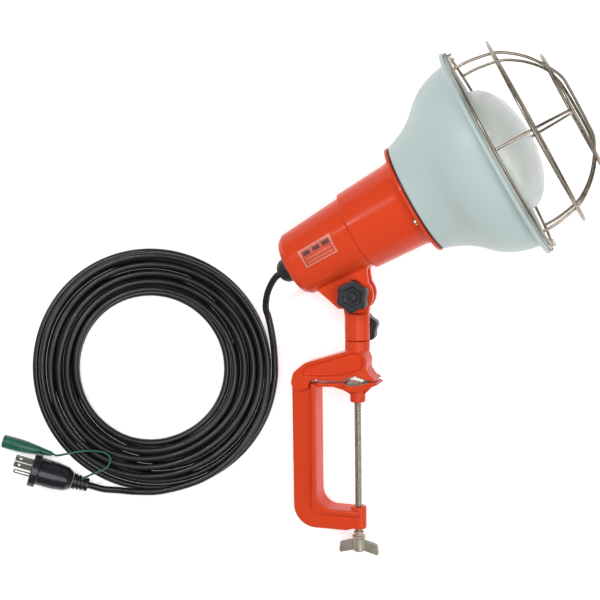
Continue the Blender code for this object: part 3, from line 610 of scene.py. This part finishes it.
def coil_path():
    """The cord from the lead's end: down outside, a tight layer inwards, then a looser one outwards on it."""
    knots = [(25, 131.0, 17.6), (17, 128.0, 14.6), (8, 126.0, 9.4), (-5, 125.3, 5.0)]
    for i in range(round(LOW_TURNS * KNOTS_PER_TURN) + 1):
        turn = i / KNOTS_PER_TURN
        knots.append((LOW_START - 360 * turn, LOW_OUTER - LOW_PITCH * turn, COIL_LOW))
    heading, radius = knots[-1][:2]
    climb = ((14, -0.1, 4.6), (26, 0.2, 6.8), (38, 0.8, 9.0), (52, 1.6, 10.3))
    knots += [(heading - on, radius + out, height) for on, out, height in climb]
    start, begin = heading - 66, radius + 2.4
    turns = (start - HIGH_END) / 360
    for i in range(round(turns * KNOTS_PER_TURN) + 1):
        turn = i / KNOTS_PER_TURN
        share = turn / turns
        heading = start - 360 * turn
        wave = math.sin(math.radians(2 * heading) + 0.6) + 0.5 * math.sin(math.radians(3 * heading) + 2.0)
        sway = LOOSE_SWAY * math.sin(math.pi * share) * wave
        knots.append((heading, begin + (HIGH_OUTER - begin) * share + sway, COIL_HIGH))
    leave = ((20, 119.4, COIL_HIGH), (40, 121.4, COIL_HIGH), (60, 123.6, COIL_HIGH), (80, 125.6, COIL_HIGH),
             (93, 127.8, 10.4), (102, 130.6, 10.0))
    knots += [(HIGH_END - on, radius, height) for on, radius, height in leave]
    return [coil_point(*knot) for knot in knots]


def power_cord():
    """The mains cord as one curve, from the gland to the plug's relief."""
    start = spot(OPTIC, 0, 0, GLAND_END + 3.0)
    onward = spot(OPTIC, 0, 0, GLAND_END - 4.0)
    lead = [start, onward, (-162.4, 24.0, 35.4), (-166.8, 12.2, 29.2), (-168.0, -0.6, 23.0)]
    tail = [(-336.9, -189.0, 9.7), spot(PLUG, 0, 0, PLUG_LENGTH + 5), spot(PLUG, 0, 0, PLUG_LENGTH - 0.5)]
    path = smooth(lead + coil_path() + tail, 3.5)
    cord = tube("power_cord", path, CORD_RADIUS, VINYL, resolution=3)
    put(cord, "lamp", "rubber", "cord_lead", "cord_coil", "cord_tail")


def earth_cord():
    """The thin green lead from the plug's relief, round to the clip's boot."""
    tail = Vector(BOOT_TAIL)
    along = (tail - Vector(BOOT_MOUTH)).normalized()
    inward = Vector((0.19, 0.57, 0.8)).normalized()
    entry = spot(PLUG, 0, 0, 55) + inward * 8.8
    start = tail + along * 0.3
    loop = [(-387.1, -153.6, 11.0), (-380.2, -152.4, 16.8), (-360.6, -148.8, 17.0), (-345.1, -148.3, 17.0),
            (-334.7, -150.3, 17.0), (-329.2, -156.2, 17.0), (-332.7, -165.3, 17.0), (-339.9, -169.0, 17.4),
            (-348.2, -172.2, 19.4)]
    path = smooth([start, start + along * 3.0, *loop, entry + inward * 2.4, entry], 1.5)[::-1]
    lead = tube("earth_wire", path, EARTH_RADIUS, GREEN, resolution=3)
    put(lead, "lamp", "green_vinyl", "earth_lead")


# ---------------------------------------------------------------- head


def housing():
    """The two turned barrels with their flange, the fork ears blended into the rear barrel, and the label."""
    front, rear, step = FRONT_BARREL, REAR_BARREL, BARREL_STEP
    wall = HOUSING_WALL
    inner_end = HOUSING_END + wall
    flange = [(front[0] - wall, FLANGE_FRONT), (FLANGE_RADIUS, FLANGE_FRONT, 0.8),
              (FLANGE_RADIUS, FLANGE_FRONT - 2.8, 1.0), (front[0] + 2.0, FLANGE_FRONT - 3.2, 3.2)]
    outside = [(front[0] - 0.3, FLANGE_FRONT - 12.0), (front[1], step + 0.8, 0.9),
               (rear[0] + 0.2, step - 0.6, 1.2), (rear[1] + 0.1, HOUSING_END + 8.0, 6.0),
               (rear[1] - 4.5, HOUSING_END + 1.2, 7.0), (21.0, HOUSING_END, 6.0), (9.2, HOUSING_END, 0.8)]
    inside = [(9.0, inner_end), (rear[1] - wall - 6, inner_end), (rear[1] - wall, inner_end + 6),
              (rear[0] - wall, step + 1), (front[1] - wall, step + 5)]
    profile = rounded(flange + outside + inside, steps=6)
    barrel = lathe("housing_barrel", profile, OPTIC, RED, steps=160, loop=True)
    x, y = PIVOT
    ears = []
    # Each ear runs down from the barrel, round the tilt bolt and back up behind it.
    for side in (1, -1):
        outline = [(-160.0, -34.0), (-165.5, -40.5)] + arc(PIVOT, EAR_RADIUS, 12, -160, 22)
        outline += [(x - 21.5, y - 4.0), (-217.5, -34.5), (-221.0, -28.0)]
        middle = side * (EAR_INNER + EAR_OUTER) / 2
        ears.append(prism("ear", outline, (EAR_OUTER - EAR_INNER) / 2, HEAD, at=middle))
    web = [(-160.0, -33.0), (-165.0, -38.5), (-217.0, -34.5), (-221.0, -28.0)]
    ears.append(prism("web", web, EAR_OUTER - 0.5, HEAD))
    hole = lathe("hole", [(0, 20), (4.3, 20), (4.3, -20), (0, -20)], TILT, None, 40)
    lug = casting("housing_ears", ears, RED, voxel=0.6, soften=5, keep=0.4, cutters=[hole])
    hollow = [(0, step + 20), (35.2, step + 20), (34.9, step), (31.0, HOUSING_END + 9), (0, HOUSING_END + 9)]
    carve(lug, lathe("hollow", hollow, OPTIC, None, 96))
    put(barrel, "lamp", "red_paint", "lamp_housing")
    put(lug, "lamp", "red_paint")
    put(label(), "lamp", "red_paint")


def barrel_point(angle, height, lift):
    """A point on the rear barrel, seen round it from the side that faces up."""
    share = (height - BARREL_STEP) / (HOUSING_END - BARREL_STEP)
    radius = REAR_BARREL[0] + (REAR_BARREL[1] - REAR_BARREL[0]) * share + lift
    a = math.radians(angle)
    return (-radius * math.cos(a), radius * math.sin(a), height)


def patch(name, angles, heights, lift, thick, paint, cells=(12, 10)):
    """A thin plate bent round the rear barrel."""
    shape = bmesh.new()
    layers = []
    for level in (lift, lift - thick):
        grid = []
        for i in range(cells[0] + 1):
            angle = angles[0] + (angles[1] - angles[0]) * i / cells[0]
            column = []
            for j in range(cells[1] + 1):
                height = heights[0] + (heights[1] - heights[0]) * j / cells[1]
                column.append(shape.verts.new(barrel_point(angle, height, level)))
            grid.append(column)
        layers.append(grid)
    top, low = layers
    for grid in layers:
        for i in range(cells[0]):
            for j in range(cells[1]):
                shape.faces.new((grid[i][j], grid[i + 1][j], grid[i + 1][j + 1], grid[i][j + 1]))
    rim = [(i, 0) for i in range(cells[0])] + [(cells[0], j) for j in range(cells[1])]
    rim += [(i, cells[1]) for i in range(cells[0], 0, -1)] + [(0, j) for j in range(cells[1], 0, -1)]
    for (i, j), (k, m) in zip(rim, rim[1:] + rim[:1]):
        shape.faces.new((top[i][j], top[k][m], low[k][m], low[i][j]))
    return finish_mesh(name, shape, OPTIC, paint, 60)


def label():
    """A plain data plate in the housing's colour, with a pale border and blank cells, no lettering."""
    low, high, front, back = -15.0, 17.0, -174.5, -212.5
    line, inset = 0.7, 1.6
    pieces = [patch("plate", (low, high), (front, back), 0.5, 0.6, PLATE)]
    left, right = front - inset, back + inset
    bottom, top = low + inset, high - inset
    pale = [((bottom, bottom + 1.0), (left, right)), ((top - 1.0, top), (left, right))]
    for edge in (left, right + line):
        pale.append(((bottom, top), (edge, edge - line)))
    for level in (-8.0, -2.0):
        pale.append(((level, level + 0.6), (left - 3.0, right + 3.0)))
    dark = [((4.0, 11.0), (left - 2.0 - 11.0 * i, left - 10.0 - 11.0 * i)) for i in range(3)]
    for paint, spans in ((PLATE_LINE, pale), (PLATE_CELL, dark)):
        pieces += [patch("mark", angles, heights, 0.62, 0.3, paint, (6, 4)) for angles, heights in spans]
    return merged("housing_plate", pieces)


def offset_line(line, distance):
    """The same polyline moved sideways, to the left of its way when distance is positive."""
    moved = []
    for i, point in enumerate(line):
        way = Vector(line[min(i + 1, len(line) - 1)]) - Vector(line[max(i - 1, 0)])
        out = Vector((-way.y, way.x)).normalized() * distance
        moved.append((point[0] + out.x, point[1] + out.y))
    return moved


def shade():
    """The spun bell with its rolled lip: outer paint and lip, and the white inside as its own shell."""
    bell = [(98.6, -4.6), (97.5, -10.0), (96.2, -17.0), (93.6, -26.0), (88.9, -36.5), (82.5, -45.5),
            (75.5, -53.0), (69.5, -60.0), (64.8, -67.5), (61.0, -75.5), (58.2, -82.5), (56.6, -87.4)]
    foot = [(54.0, FLANGE_FRONT + 1.8), (50.0, FLANGE_FRONT + 1.7), (41.8, FLANGE_FRONT + 1.7)]
    outer = [tuple(p) for p in smooth(bell + foot, 1.6)]
    middle = offset_line(outer, -SHADE_COAT)
    inner = offset_line(outer, -2 * SHADE_COAT)
    bead = arc((106.9, -1.95), 1.9, -150, 120, 18)
    lip = [(99.4, -3.6), (101.0, -3.2), (103.4, -2.9)] + bead + [(103.4, -1.5), (100.6, -1.9), (98.6, -3.0)]
    painted = lip[::-1] + outer + middle[::-1]
    shell = lathe("shade_bell", painted, OPTIC, SHADE, steps=192, loop=True)
    put(shell, "lamp", "shade_paint", "reflector_shade")
    lining = lathe("shade_lining", inner + middle[::-1], OPTIC, WHITE, steps=160, loop=True)
    put(lining, "lamp", "shade_paint")


def bulb():
    """The glass of the frosted reflector bulb: a domed face, a tapered back and a neck, hollow inside."""
    bearings = [math.radians(a) for a in range(0, 91, 5)]
    face = [(BULB_RADIUS * math.sin(a), BULB_APEX - BULB_DEPTH * (1 - math.cos(a))) for a in bearings]
    shares = [0.06 + 0.094 * i for i in range(11)]
    back = [(BULB_RADIUS - BULB_TAPER * t**1.5, BULB_APEX - BULB_DEPTH - BULB_BACK * t) for t in shares]
    neck = [(17.6, -94.0), (14.6, -101.0), (13.2, -107.0), (12.9, -112.0), (12.9, -118.0)]
    outer = face + back + neck
    inner = [(max(r - GLASS_WALL, 0.0), h - GLASS_WALL * (h > 4)) for r, h in reversed(outer)]
    glass = lathe("bulb_envelope", outer + inner, OPTIC, GLASS, steps=144)
    put(glass, "lamp", "frosted_glass", "bulb_glass")


def gland():
    """The stepped rubber dome that the cord comes out of."""
    base = HOUSING_END - 0.3
    bore = CORD_RADIUS + 0.05
    shank = [(bore, base + 6), (8.0, base + 6), (8.0, base)]
    collar = [(GLAND_RADIUS, base, 0.6), (GLAND_RADIUS, base - 3.8, 1.2), (12.4, base - 4.4, 0.6)]
    nose = [(11.8, base - 8.4, 3.0), (9.2, GLAND_END + 1.8, 2.0), (6.8, GLAND_END, 1.2),
            (bore, GLAND_END + 0.2)]
    profile = rounded(shank + collar + nose, steps=4)
    dome = lathe("gland_dome", profile, OPTIC, RUBBER, 72, loop=True)
    put(dome, "lamp", "rubber", "cord_gland")


# ---------------------------------------------------------------- guard


def bow_line(index):
    """One bow from rim to rim, the three stacked where they cross at the front."""
    shift = (index - 1) * BOW_STACK
    half = [(98.2, 3.7), (97.4, 20.0), (92.4, 41.0), (86.0, 52.0), (73.0, 65.5), (55.5, 77.0),
            (37.0, 82.0 + shift), (20.0, 83.2 + shift)]
    arch = [(r, 0, h) for r, h in half] + [(0, 0, 83.4 + shift)] + [(-r, 0, h) for r, h in reversed(half)]
    turn = OPTIC @ Matrix.Rotation(math.radians(60 * index), 4, "Z")
    return [spot(turn, *p) for p in smooth(arch, 3.0)]


def guard():
    """Three rings and three bows of plated wire, with weld beads where they cross."""
    for name, (radius, height) in (("base", BASE_RING), ("middle", MIDDLE_RING), ("front", FRONT_RING)):
        circle = [spot(OPTIC, x, y, height) for x, y in arc((0, 0), radius, 0, 360, 145)[:-1]]
        ring = tube(f"guard_{name}_wire", circle, WIRE, CHROMATE, loop=True)
        put(ring, "guard", "chromate", f"guard_{name}_ring")
    for index in range(3):
        bow = tube(f"guard_arch_{index + 1}", bow_line(index), WIRE, CHROMATE)
        put(bow, "guard", "chromate", f"guard_bow_{index + 1}")
    beads = []
    for index in range(3):
        for side in (0, 180):
            turn = OPTIC @ Matrix.Rotation(math.radians(60 * index + side), 4, "Z")
            for r, h in WELDS:
                beads.append(bead(turn @ Matrix.Translation(Vector((r, 0, h)) * MM)))
    put(merged("guard_welds", beads), "guard", "chromate")


def bead(space):
    """A small flattened ball of weld."""
    profile = [(1.9 * math.sin(math.radians(a)), 1.5 * math.cos(math.radians(a))) for a in range(0, 181, 30)]
    return lathe("bead", profile, space, CHROMATE, 14)


# ---------------------------------------------------------------- stand and clamp


def knob(name, space, height, spin, body, node):
    """A six-lobed hand knob on its axis, with a grooved edge, a dished top and a raised middle."""
    space = space @ Matrix.Translation((0, 0, height * MM))

    def lobes(a, level):
        """Six lobes round the edge, drawn in a little at mid-height."""
        waist = 1 - 0.03 * (1 - abs(2 * (level - 9.0) / 12))
        return waist * (1 + (KNOB_LOBE / KNOB_RADIUS) * math.cos(6 * (a - math.radians(spin))))

    top = [(0, 13.0), (8.6, 13.0, 0.6), (9.4, KNOB_HEIGHT, 0.8), (KNOB_RADIUS - 0.3, KNOB_HEIGHT, 1.8)]
    under = [(KNOB_RADIUS, 3.0, 1.6), (10.5, 3.0, 0.8), (9.0, 0.0), (4.4, 0.0), (4.4, 11.0), (0, 11.0)]
    flutes = lathe("grip", rounded(top + under), space, BLACK, steps=144, ripple=lobes, angle=40)
    cap = rounded([(0, KNOB_HEIGHT + 1.5), (4.4, KNOB_HEIGHT + 1.4, 1.0), (5.4, 12.6), (0, 12.6)], steps=4)
    boss = lathe("boss", cap, space, BLACK, steps=48)
    put(merged(name, [flutes, boss]), body, "black_plastic", node)


def yoke():
    """The tongue on the tilt bolt, blended into the hollow post."""
    side = STAND @ UPRIGHT
    outline = arc((0, 0), 15.5, 205, -25, 28)
    outline += [(POST_RADIUS - 0.8, POST_TOP - 3), (-POST_RADIUS + 0.8, POST_TOP - 3)]
    tongue = prism("tongue", outline, 5.2, side)
    post = rounded([(0, POST_TOP), (POST_RADIUS, POST_TOP, 2.2), (POST_RADIUS, POST_BOTTOM + 0.2, 0.8),
                    (8.3, POST_BOTTOM + 0.2), (8.3, -26.6), (0, -26.6)])
    body = lathe("post", post, STAND, None, 72)
    boss = lathe("boss", [(0, 14.6), (5.6, 14.6), (6.4, 9.0), (0, 9.0)], LOCK, None, 40)
    holes = [lathe("hole", [(0, 9), (4.3, 9), (4.3, -9), (0, -9)], TILT, None, 32),
             lathe("hole", [(0, 20), (3.3, 20), (3.3, 5), (0, 5)], LOCK, None, 32)]
    made = casting("post_casting", [tongue, body, boss], RED, voxel=0.55, soften=4, keep=0.4, cutters=holes)
    put(made, "yoke", "red_paint", "swivel_yoke")


def clamp_arm(side):
    """The upper arm: round at its free end, hollowed on both faces, widening down to the V and the spine."""
    end = (0.0, -67.6)
    nose = [(12.1, -75.0, 6), (17.5, -82.4, 2), (17.2, -84.0), (12.9, -83.4), (0.4, -79.6), (-12.0, -84.5)]
    spine = [(-33.0, -86.8, 3), (-46.8, -88.0, 4), (-50.0, -97.0), (-62.0, -101.0)]
    shoulder = [(SPINE_OUTER + 0.3, -94.0, 8), (-65.6, -81.5, 10), (-53.0, -71.0, 12)]
    line = arc(end, 12.6, 108, -20, 16)
    line += rounded([(11.8, -71.9), *nose, *spine, *shoulder, (-3.9, -55.6)])[1:-1]
    arm = prism("arm", line[::-1], ARM_HALF, side, bevel=0.9)
    hollow = [(2.4, -76.7), (-14.0, -81.2, 6), (-36.0, -83.6, 6), (-58.0, -83.6, 3), (-52.0, -74.6, 8),
              (-2.9, -58.7)]
    pocket = arc(end, 9.4, 108, -75, 14) + rounded(hollow)[1:-1]
    return carve(arm, *(prism("pocket", pocket[::-1], 3.4, side, at=s * ARM_HALF) for s in (1, -1)))


def clamp_spine(side):
    """The spine and lower arm: a thin web, a rounded rib along the outside and a flange along the inside."""
    inner = (SPINE_INNER + SPINE_FILLET, ARM_TOP + SPINE_FILLET)
    outer = (SPINE_OUTER + SPINE_BEND, ARM_BOTTOM + SPINE_BEND)
    outside = [(4.0, ARM_BOTTOM + 5.5), (-12.0, ARM_BOTTOM + 0.1)]
    outside += arc(outer, SPINE_BEND - 0.1, -90, -180, 16)
    outside += [(SPINE_OUTER + 0.1, -94.0), (SPINE_OUTER + 9, -89.0)]

    def band(name, depth, half, bevel):
        """From the outer edge to a line this far from the inner edge."""
        turn = arc(inner, SPINE_FILLET + depth, 180, 270, 14)
        line = outside + [(SPINE_INNER - depth, -95.0)] + turn + [(4.0, ARM_TOP - depth)]
        return prism(name, line, half, side, bevel=bevel)

    web = band("web", 3.5, 5.4, 0.0)
    rib = band("rib", SPINE_INNER - SPINE_OUTER - RIB_WIDTH, 7.4, 3.2)
    corner = (SPINE_INNER - FLANGE_BAND + 5.0, ARM_TOP - FLANGE_BAND + 5.0)
    line = [(SPINE_INNER + 0.1, -91.5)] + arc(inner, SPINE_FILLET, 180, 270, 14)
    line += [(3.0, ARM_TOP), (3.0, ARM_TOP - FLANGE_BAND)] + arc(corner, 5.0, 270, 180, 8)
    line += [(SPINE_INNER - FLANGE_BAND, -91.5)]
    return [web, rib, prism("flange", line, FLANGE_HALF - 0.1, side, bevel=1.6)]


def clamp_casting():
    """The C frame as one casting: neck, arm, V jaw, spine, lower arm and screw boss."""
    side = CLAMP @ UPRIGHT
    step = POST_BOTTOM - 0.4
    neck = rounded([(0, -27.8), (7.9, -27.8, 0.8), (7.9, step), (POST_RADIUS, step, 0.8),
                    (POST_RADIUS, -57.5), (0, -57.5)], steps=4)
    vee = [(20.6, -83.7), (21.0, -86.1), (12.9, -85.3), (0.4, -81.5), (-12.2, -86.4), (-12.6, -87.9),
           (-38.0, -87.9), (-38.0, -84.5), (-12.0, -82.5), (0.4, -77.8), (12.9, -81.0)]
    boss = rounded([(0, -218.7), (8.1, -218.7, 0.8), (8.1, -241.6, 1.2), (0, -241.6)])
    pieces = [
        lathe("neck", neck, CLAMP, None, 72),
        clamp_arm(side),
        prism("jaw", vee, FLANGE_HALF - 0.6, side),
        *clamp_spine(side),
        lathe("boss", boss, CLAMP, None, 64),
    ]
    hole = lathe("hole", [(0, -210), (4.2, -210), (4.2, -248), (0, -248)], CLAMP, None, 40)
    made = casting("clamp_casting", pieces, RED, voxel=0.6, soften=4, keep=0.35, cutters=[hole])
    put(made, "clamp", "red_paint", "clamp_frame")
    slopes = (((13.5, -85.5), (1.6, -81.9)), ((-0.8, -82.0), (-11.6, -86.3)))
    put(teeth("fixed_jaw_teeth", slopes, side), "clamp", "red_paint")


def teeth(name, slopes, side):
    """Rows of small dark steel teeth along the gripping faces of a jaw."""
    rows = []
    for start, end in slopes:
        edge = serrated(start, end, TEETH, TOOTH_DEPTH)
        back = offset_line([start, end], -0.8)
        rows.append(prism("row", edge + back[::-1], FLANGE_HALF - 1.0, side, STEEL))
    return merged(name, rows)


def serrated(start, end, count, depth):
    """Points of a row of small V teeth between two points, standing off to the left of the way."""
    a, b = Vector(start), Vector(end)
    along = (b - a) / count
    out = Vector((-along.y, along.x)).normalized() * depth
    points = []
    for i in range(count):
        points += [tuple(a + along * i), tuple(a + along * (i + 0.5) + out)]
    return points + [tuple(b)]


def jaw_casting():
    """The sliding jaw with its serrated V, its rib and its hub."""
    side = CLAMP @ UPRIGHT
    # The guided end at the spine, the gripping face out to the nose, and back along the underside.
    outline = [(SPINE_INNER + 0.8, -94.6), (SPINE_INNER + 0.8, -91.0), (-12.6, -89.8), (-12.0, -89.0)]
    outline += [(-9.6, -90.6), (-0.9, -92.1), (3.3, -91.0), (14.4, -87.6), (20.4, -87.6)]
    outline += [(23.6, -89.0), (23.6, -89.8), (19.6, -91.3), (3.3, -98.2), (-6.7, -97.6), (-23.1, -93.8)]
    vee = prism("vee", outline, FLANGE_HALF - 0.9, side)
    rib = prism("rib", [(-25.0, -93.0), (18.0, -91.4), (8.0, -101.5), (-7.0, -101.8)], 4.5, side)
    hub = lathe("hub", rounded([(0, -93.0), (7.8, -93.0), (7.8, -109.9, 1.0), (0, -109.9)]), CLAMP, None, 64)
    cutters = [lathe("hole", [(0, -103.2), (4.2, -103.2), (4.2, -114), (0, -114)], CLAMP, None, 40)]
    made = casting("jaw_casting", [vee, rib, hub], RED, voxel=0.5, soften=3, keep=0.4, cutters=cutters)
    put(made, "jaw", "red_paint", "clamp_jaw")
    slopes = (((-9.0, -90.6), (-0.6, -92.0)), ((3.4, -91.0), (14.0, -87.7)))
    put(teeth("moving_jaw_teeth", slopes, side), "jaw", "red_paint")


def thread(name, top, bottom, paint):
    """A threaded rod on the clamp axis: a helix of trapezoid ridges, capped at both ends."""
    shape = bmesh.new()
    around = 28
    per_turn = ((0.0, SCREW_MINOR), (0.12, SCREW_MINOR), (0.42, SCREW_MAJOR), (0.58, SCREW_MAJOR),
                (0.88, SCREW_MINOR))
    turns = int((top - bottom) / SCREW_PITCH)
    rows = []
    for turn in range(turns):
        for share, radius in per_turn:
            row = []
            for k in range(around + 1):
                a = 2 * math.pi * k / around
                z = top - (turn + share + k / around) * SCREW_PITCH
                row.append(shape.verts.new((radius * math.cos(a), radius * math.sin(a), z)))
            rows.append(row)
    for upper, lower in zip(rows, rows[1:]):
        for k in range(around):
            shape.faces.new((upper[k], upper[k + 1], lower[k + 1], lower[k]))
    cap_top = shape.verts.new((0, 0, top))
    cap_low = shape.verts.new((0, 0, bottom - SCREW_PITCH))
    for k in range(around):
        shape.faces.new((cap_top, rows[0][k + 1], rows[0][k]))
        shape.faces.new((cap_low, rows[-1][k], rows[-1][k + 1]))
    return finish_mesh(name, shape, CLAMP, paint, 25)


def screw_and_handle():
    """The threaded rod and the cast wing handle with its two drooping wings."""
    rod = thread("clamp_thread", -104.4, -260.0, STEEL)
    put(rod, "screw", "chromate", "clamp_screw")
    neck = [(0, -245.0), (5.1, -245.0, 0.5), (4.9, -248.6, 0.6)]
    collar = [(6.9, -249.8, 0.6), (6.9, -251.4, 0.6)]
    hub = [(5.7, -252.6, 0.6), (5.7, -266.0, 1.0), (0, -266.9)]
    pieces = [lathe("hub", rounded(neck + collar + hub, steps=4), CLAMP, None, 48)]
    wing = [(3.6, -252.8), (19.8, -257.6, 2.5), (21.3, -269.8, 2.5), (3.6, -264.9)]
    for side in (1, -1):
        outline = rounded(wing, closed=True)
        pieces.append(prism("wing", [(side * x, z) for x, z in outline], 1.45, CLAMP @ UPRIGHT))
    made = casting("wing_casting", pieces, BRIGHT, voxel=0.4, soften=3, keep=0.5)
    put(made, "screw", "chromate", "wing_handle")


# ---------------------------------------------------------------- plug


def plug():
    """The smooth moulded plug and its tapered relief with shallow ribs."""
    barrel = [(0, 43.8), (9.4, 43.8, 1.2), (13.4, 38.0, 5), (15.2, 26.0, 5), (15.4, 8.6, 0.8)]
    flange = [(17.6, 8.0, 0.8), (17.9, 7.0, 0.6), (17.9, 0.6, 0.8), (0, 0.0)]
    body = rounded(barrel + flange)

    def flattened(a, height):
        """The plug is a little thinner one way than the other, more so behind its flange."""
        return 1 - 0.10 * abs(math.sin(a)) ** 2 * (1 if height > 8.2 else 0.25)

    profile = []
    for (r0, h0), (r1, h1) in zip(body, body[1:]):
        pieces = max(1, round(abs(h1 - h0) / 0.8))
        profile += [(r0 + (r1 - r0) * i / pieces, h0 + (h1 - h0) * i / pieces) for i in range(pieces)]
    profile.append(body[-1])
    case = lathe("plug_case", profile, PLUG, GLOSSY, 96, ripple=flattened)
    slots = [cube("slot", (-2.9, -22, -3), (2.9, -4.4, 6.4), PLUG)]
    slots += [cube("slot", (s * 6.35 - 1.1, 1.0, -3), (s * 6.35 + 1.1, 8.0, 6.0), PLUG) for s in (1, -1)]
    carve(case, *slots)
    put(case, "lamp", "black_plastic", "plug_body")
    ribs = [(0, PLUG_LENGTH), (6.6, PLUG_LENGTH)]
    for i in range(4):
        level, wide = PLUG_LENGTH - 1.0 - 3.9 * i, 7.0 + 0.4 * i
        ribs += [(wide, level, 0.8), (wide, level - 2.4, 0.8), (wide - 0.9, level - 2.8, 0.3),
                 (wide - 0.9, level - 3.6, 0.3)]
    ribs += [(8.4, 45.4), (8.4, 44.4), (0, 44.4)]
    relief = lathe("plug_ribs", rounded(ribs, steps=3), PLUG, GLOSSY, 64)
    put(relief, "lamp", "rubber", "plug_relief")


def clip_boot():
    """The soft tapered boot over the earth clip, open at its mouth."""
    mouth = Vector(BOOT_MOUTH)
    along = Vector(BOOT_TAIL) - mouth
    length = along.length
    space = Matrix.Translation(mouth * MM) @ along.to_track_quat("Z", "Y").to_matrix().to_4x4()
    outside = [(1.25, length), (2.3, length, 0.6), (3.5, length * 0.84, 6), (4.8, length * 0.68, 8),
               (6.3, length * 0.48, 8), (6.85, length * 0.3, 6), (6.85, 0.0, 0.6)]
    inside = [(5.4, 0.0, 0.4), (5.0, length * 0.38), (1.25, length * 0.4)]
    boot = lathe("clip_boot", rounded(outside + inside, steps=6), space, GREEN, 64, loop=True)
    put(boot, "lamp", "green_vinyl", "earth_clip_boot")


def carried_over():
    """The CAD nodes that stay visible get their materials."""
    looks = {
        RUBBER: ("inner_wire_1", "inner_wire_2"),
        GASKET: ("shade_gasket",),
        CHROMATE: ("guard_hinge_clip", "guard_hinge_clip_rivet", "guard_snap_clip", "guard_snap_clip_rivet"),
        ZINC: ("shade_clamp_ring", "shade_screw_1", "shade_screw_2", "shade_screw_3", "shade_nut_1",
               "shade_nut_2", "shade_nut_3", "holder_strap", "holder_screw_1", "holder_screw_2", "gland_nut",
               "tilt_bolt", "friction_washer_1", "friction_washer_2", "tilt_washer", "lock_stud", "jaw_pin",
               "wing_pin"),
        NICKEL: ("plug_blade_1", "plug_blade_2", "ground_pin", "earth_clip"),
        BRASS: ("bulb_cap", "holder_shell", "holder_contact", "lock_pad"),
        PORCELAIN: ("lamp_holder",),
    }
    for paint, names in looks.items():
        for name in names:
            mesh = NODES[name].data
            mesh.materials.clear()
            mesh.materials.append(paint)
            mesh.shade_smooth()
            mesh.set_sharp_from_angle(angle=math.radians(32))


# ---------------------------------------------------------------- the scene

camera()
floor_and_world()
softboxes()
housing()
shade()
bulb()
gland()
guard()
knob("tilt_grip", TILT, EAR_OUTER + 2.2, -4, "tilt_hand_knob", "tilt_knob")
knob("swivel_grip", LOCK, POST_RADIUS + 2.6, 12, "swivel_hand_knob", "swivel_knob")
yoke()
clamp_casting()
jaw_casting()
screw_and_handle()
plug()
clip_boot()
earth_cord()
power_cord()
carried_over()
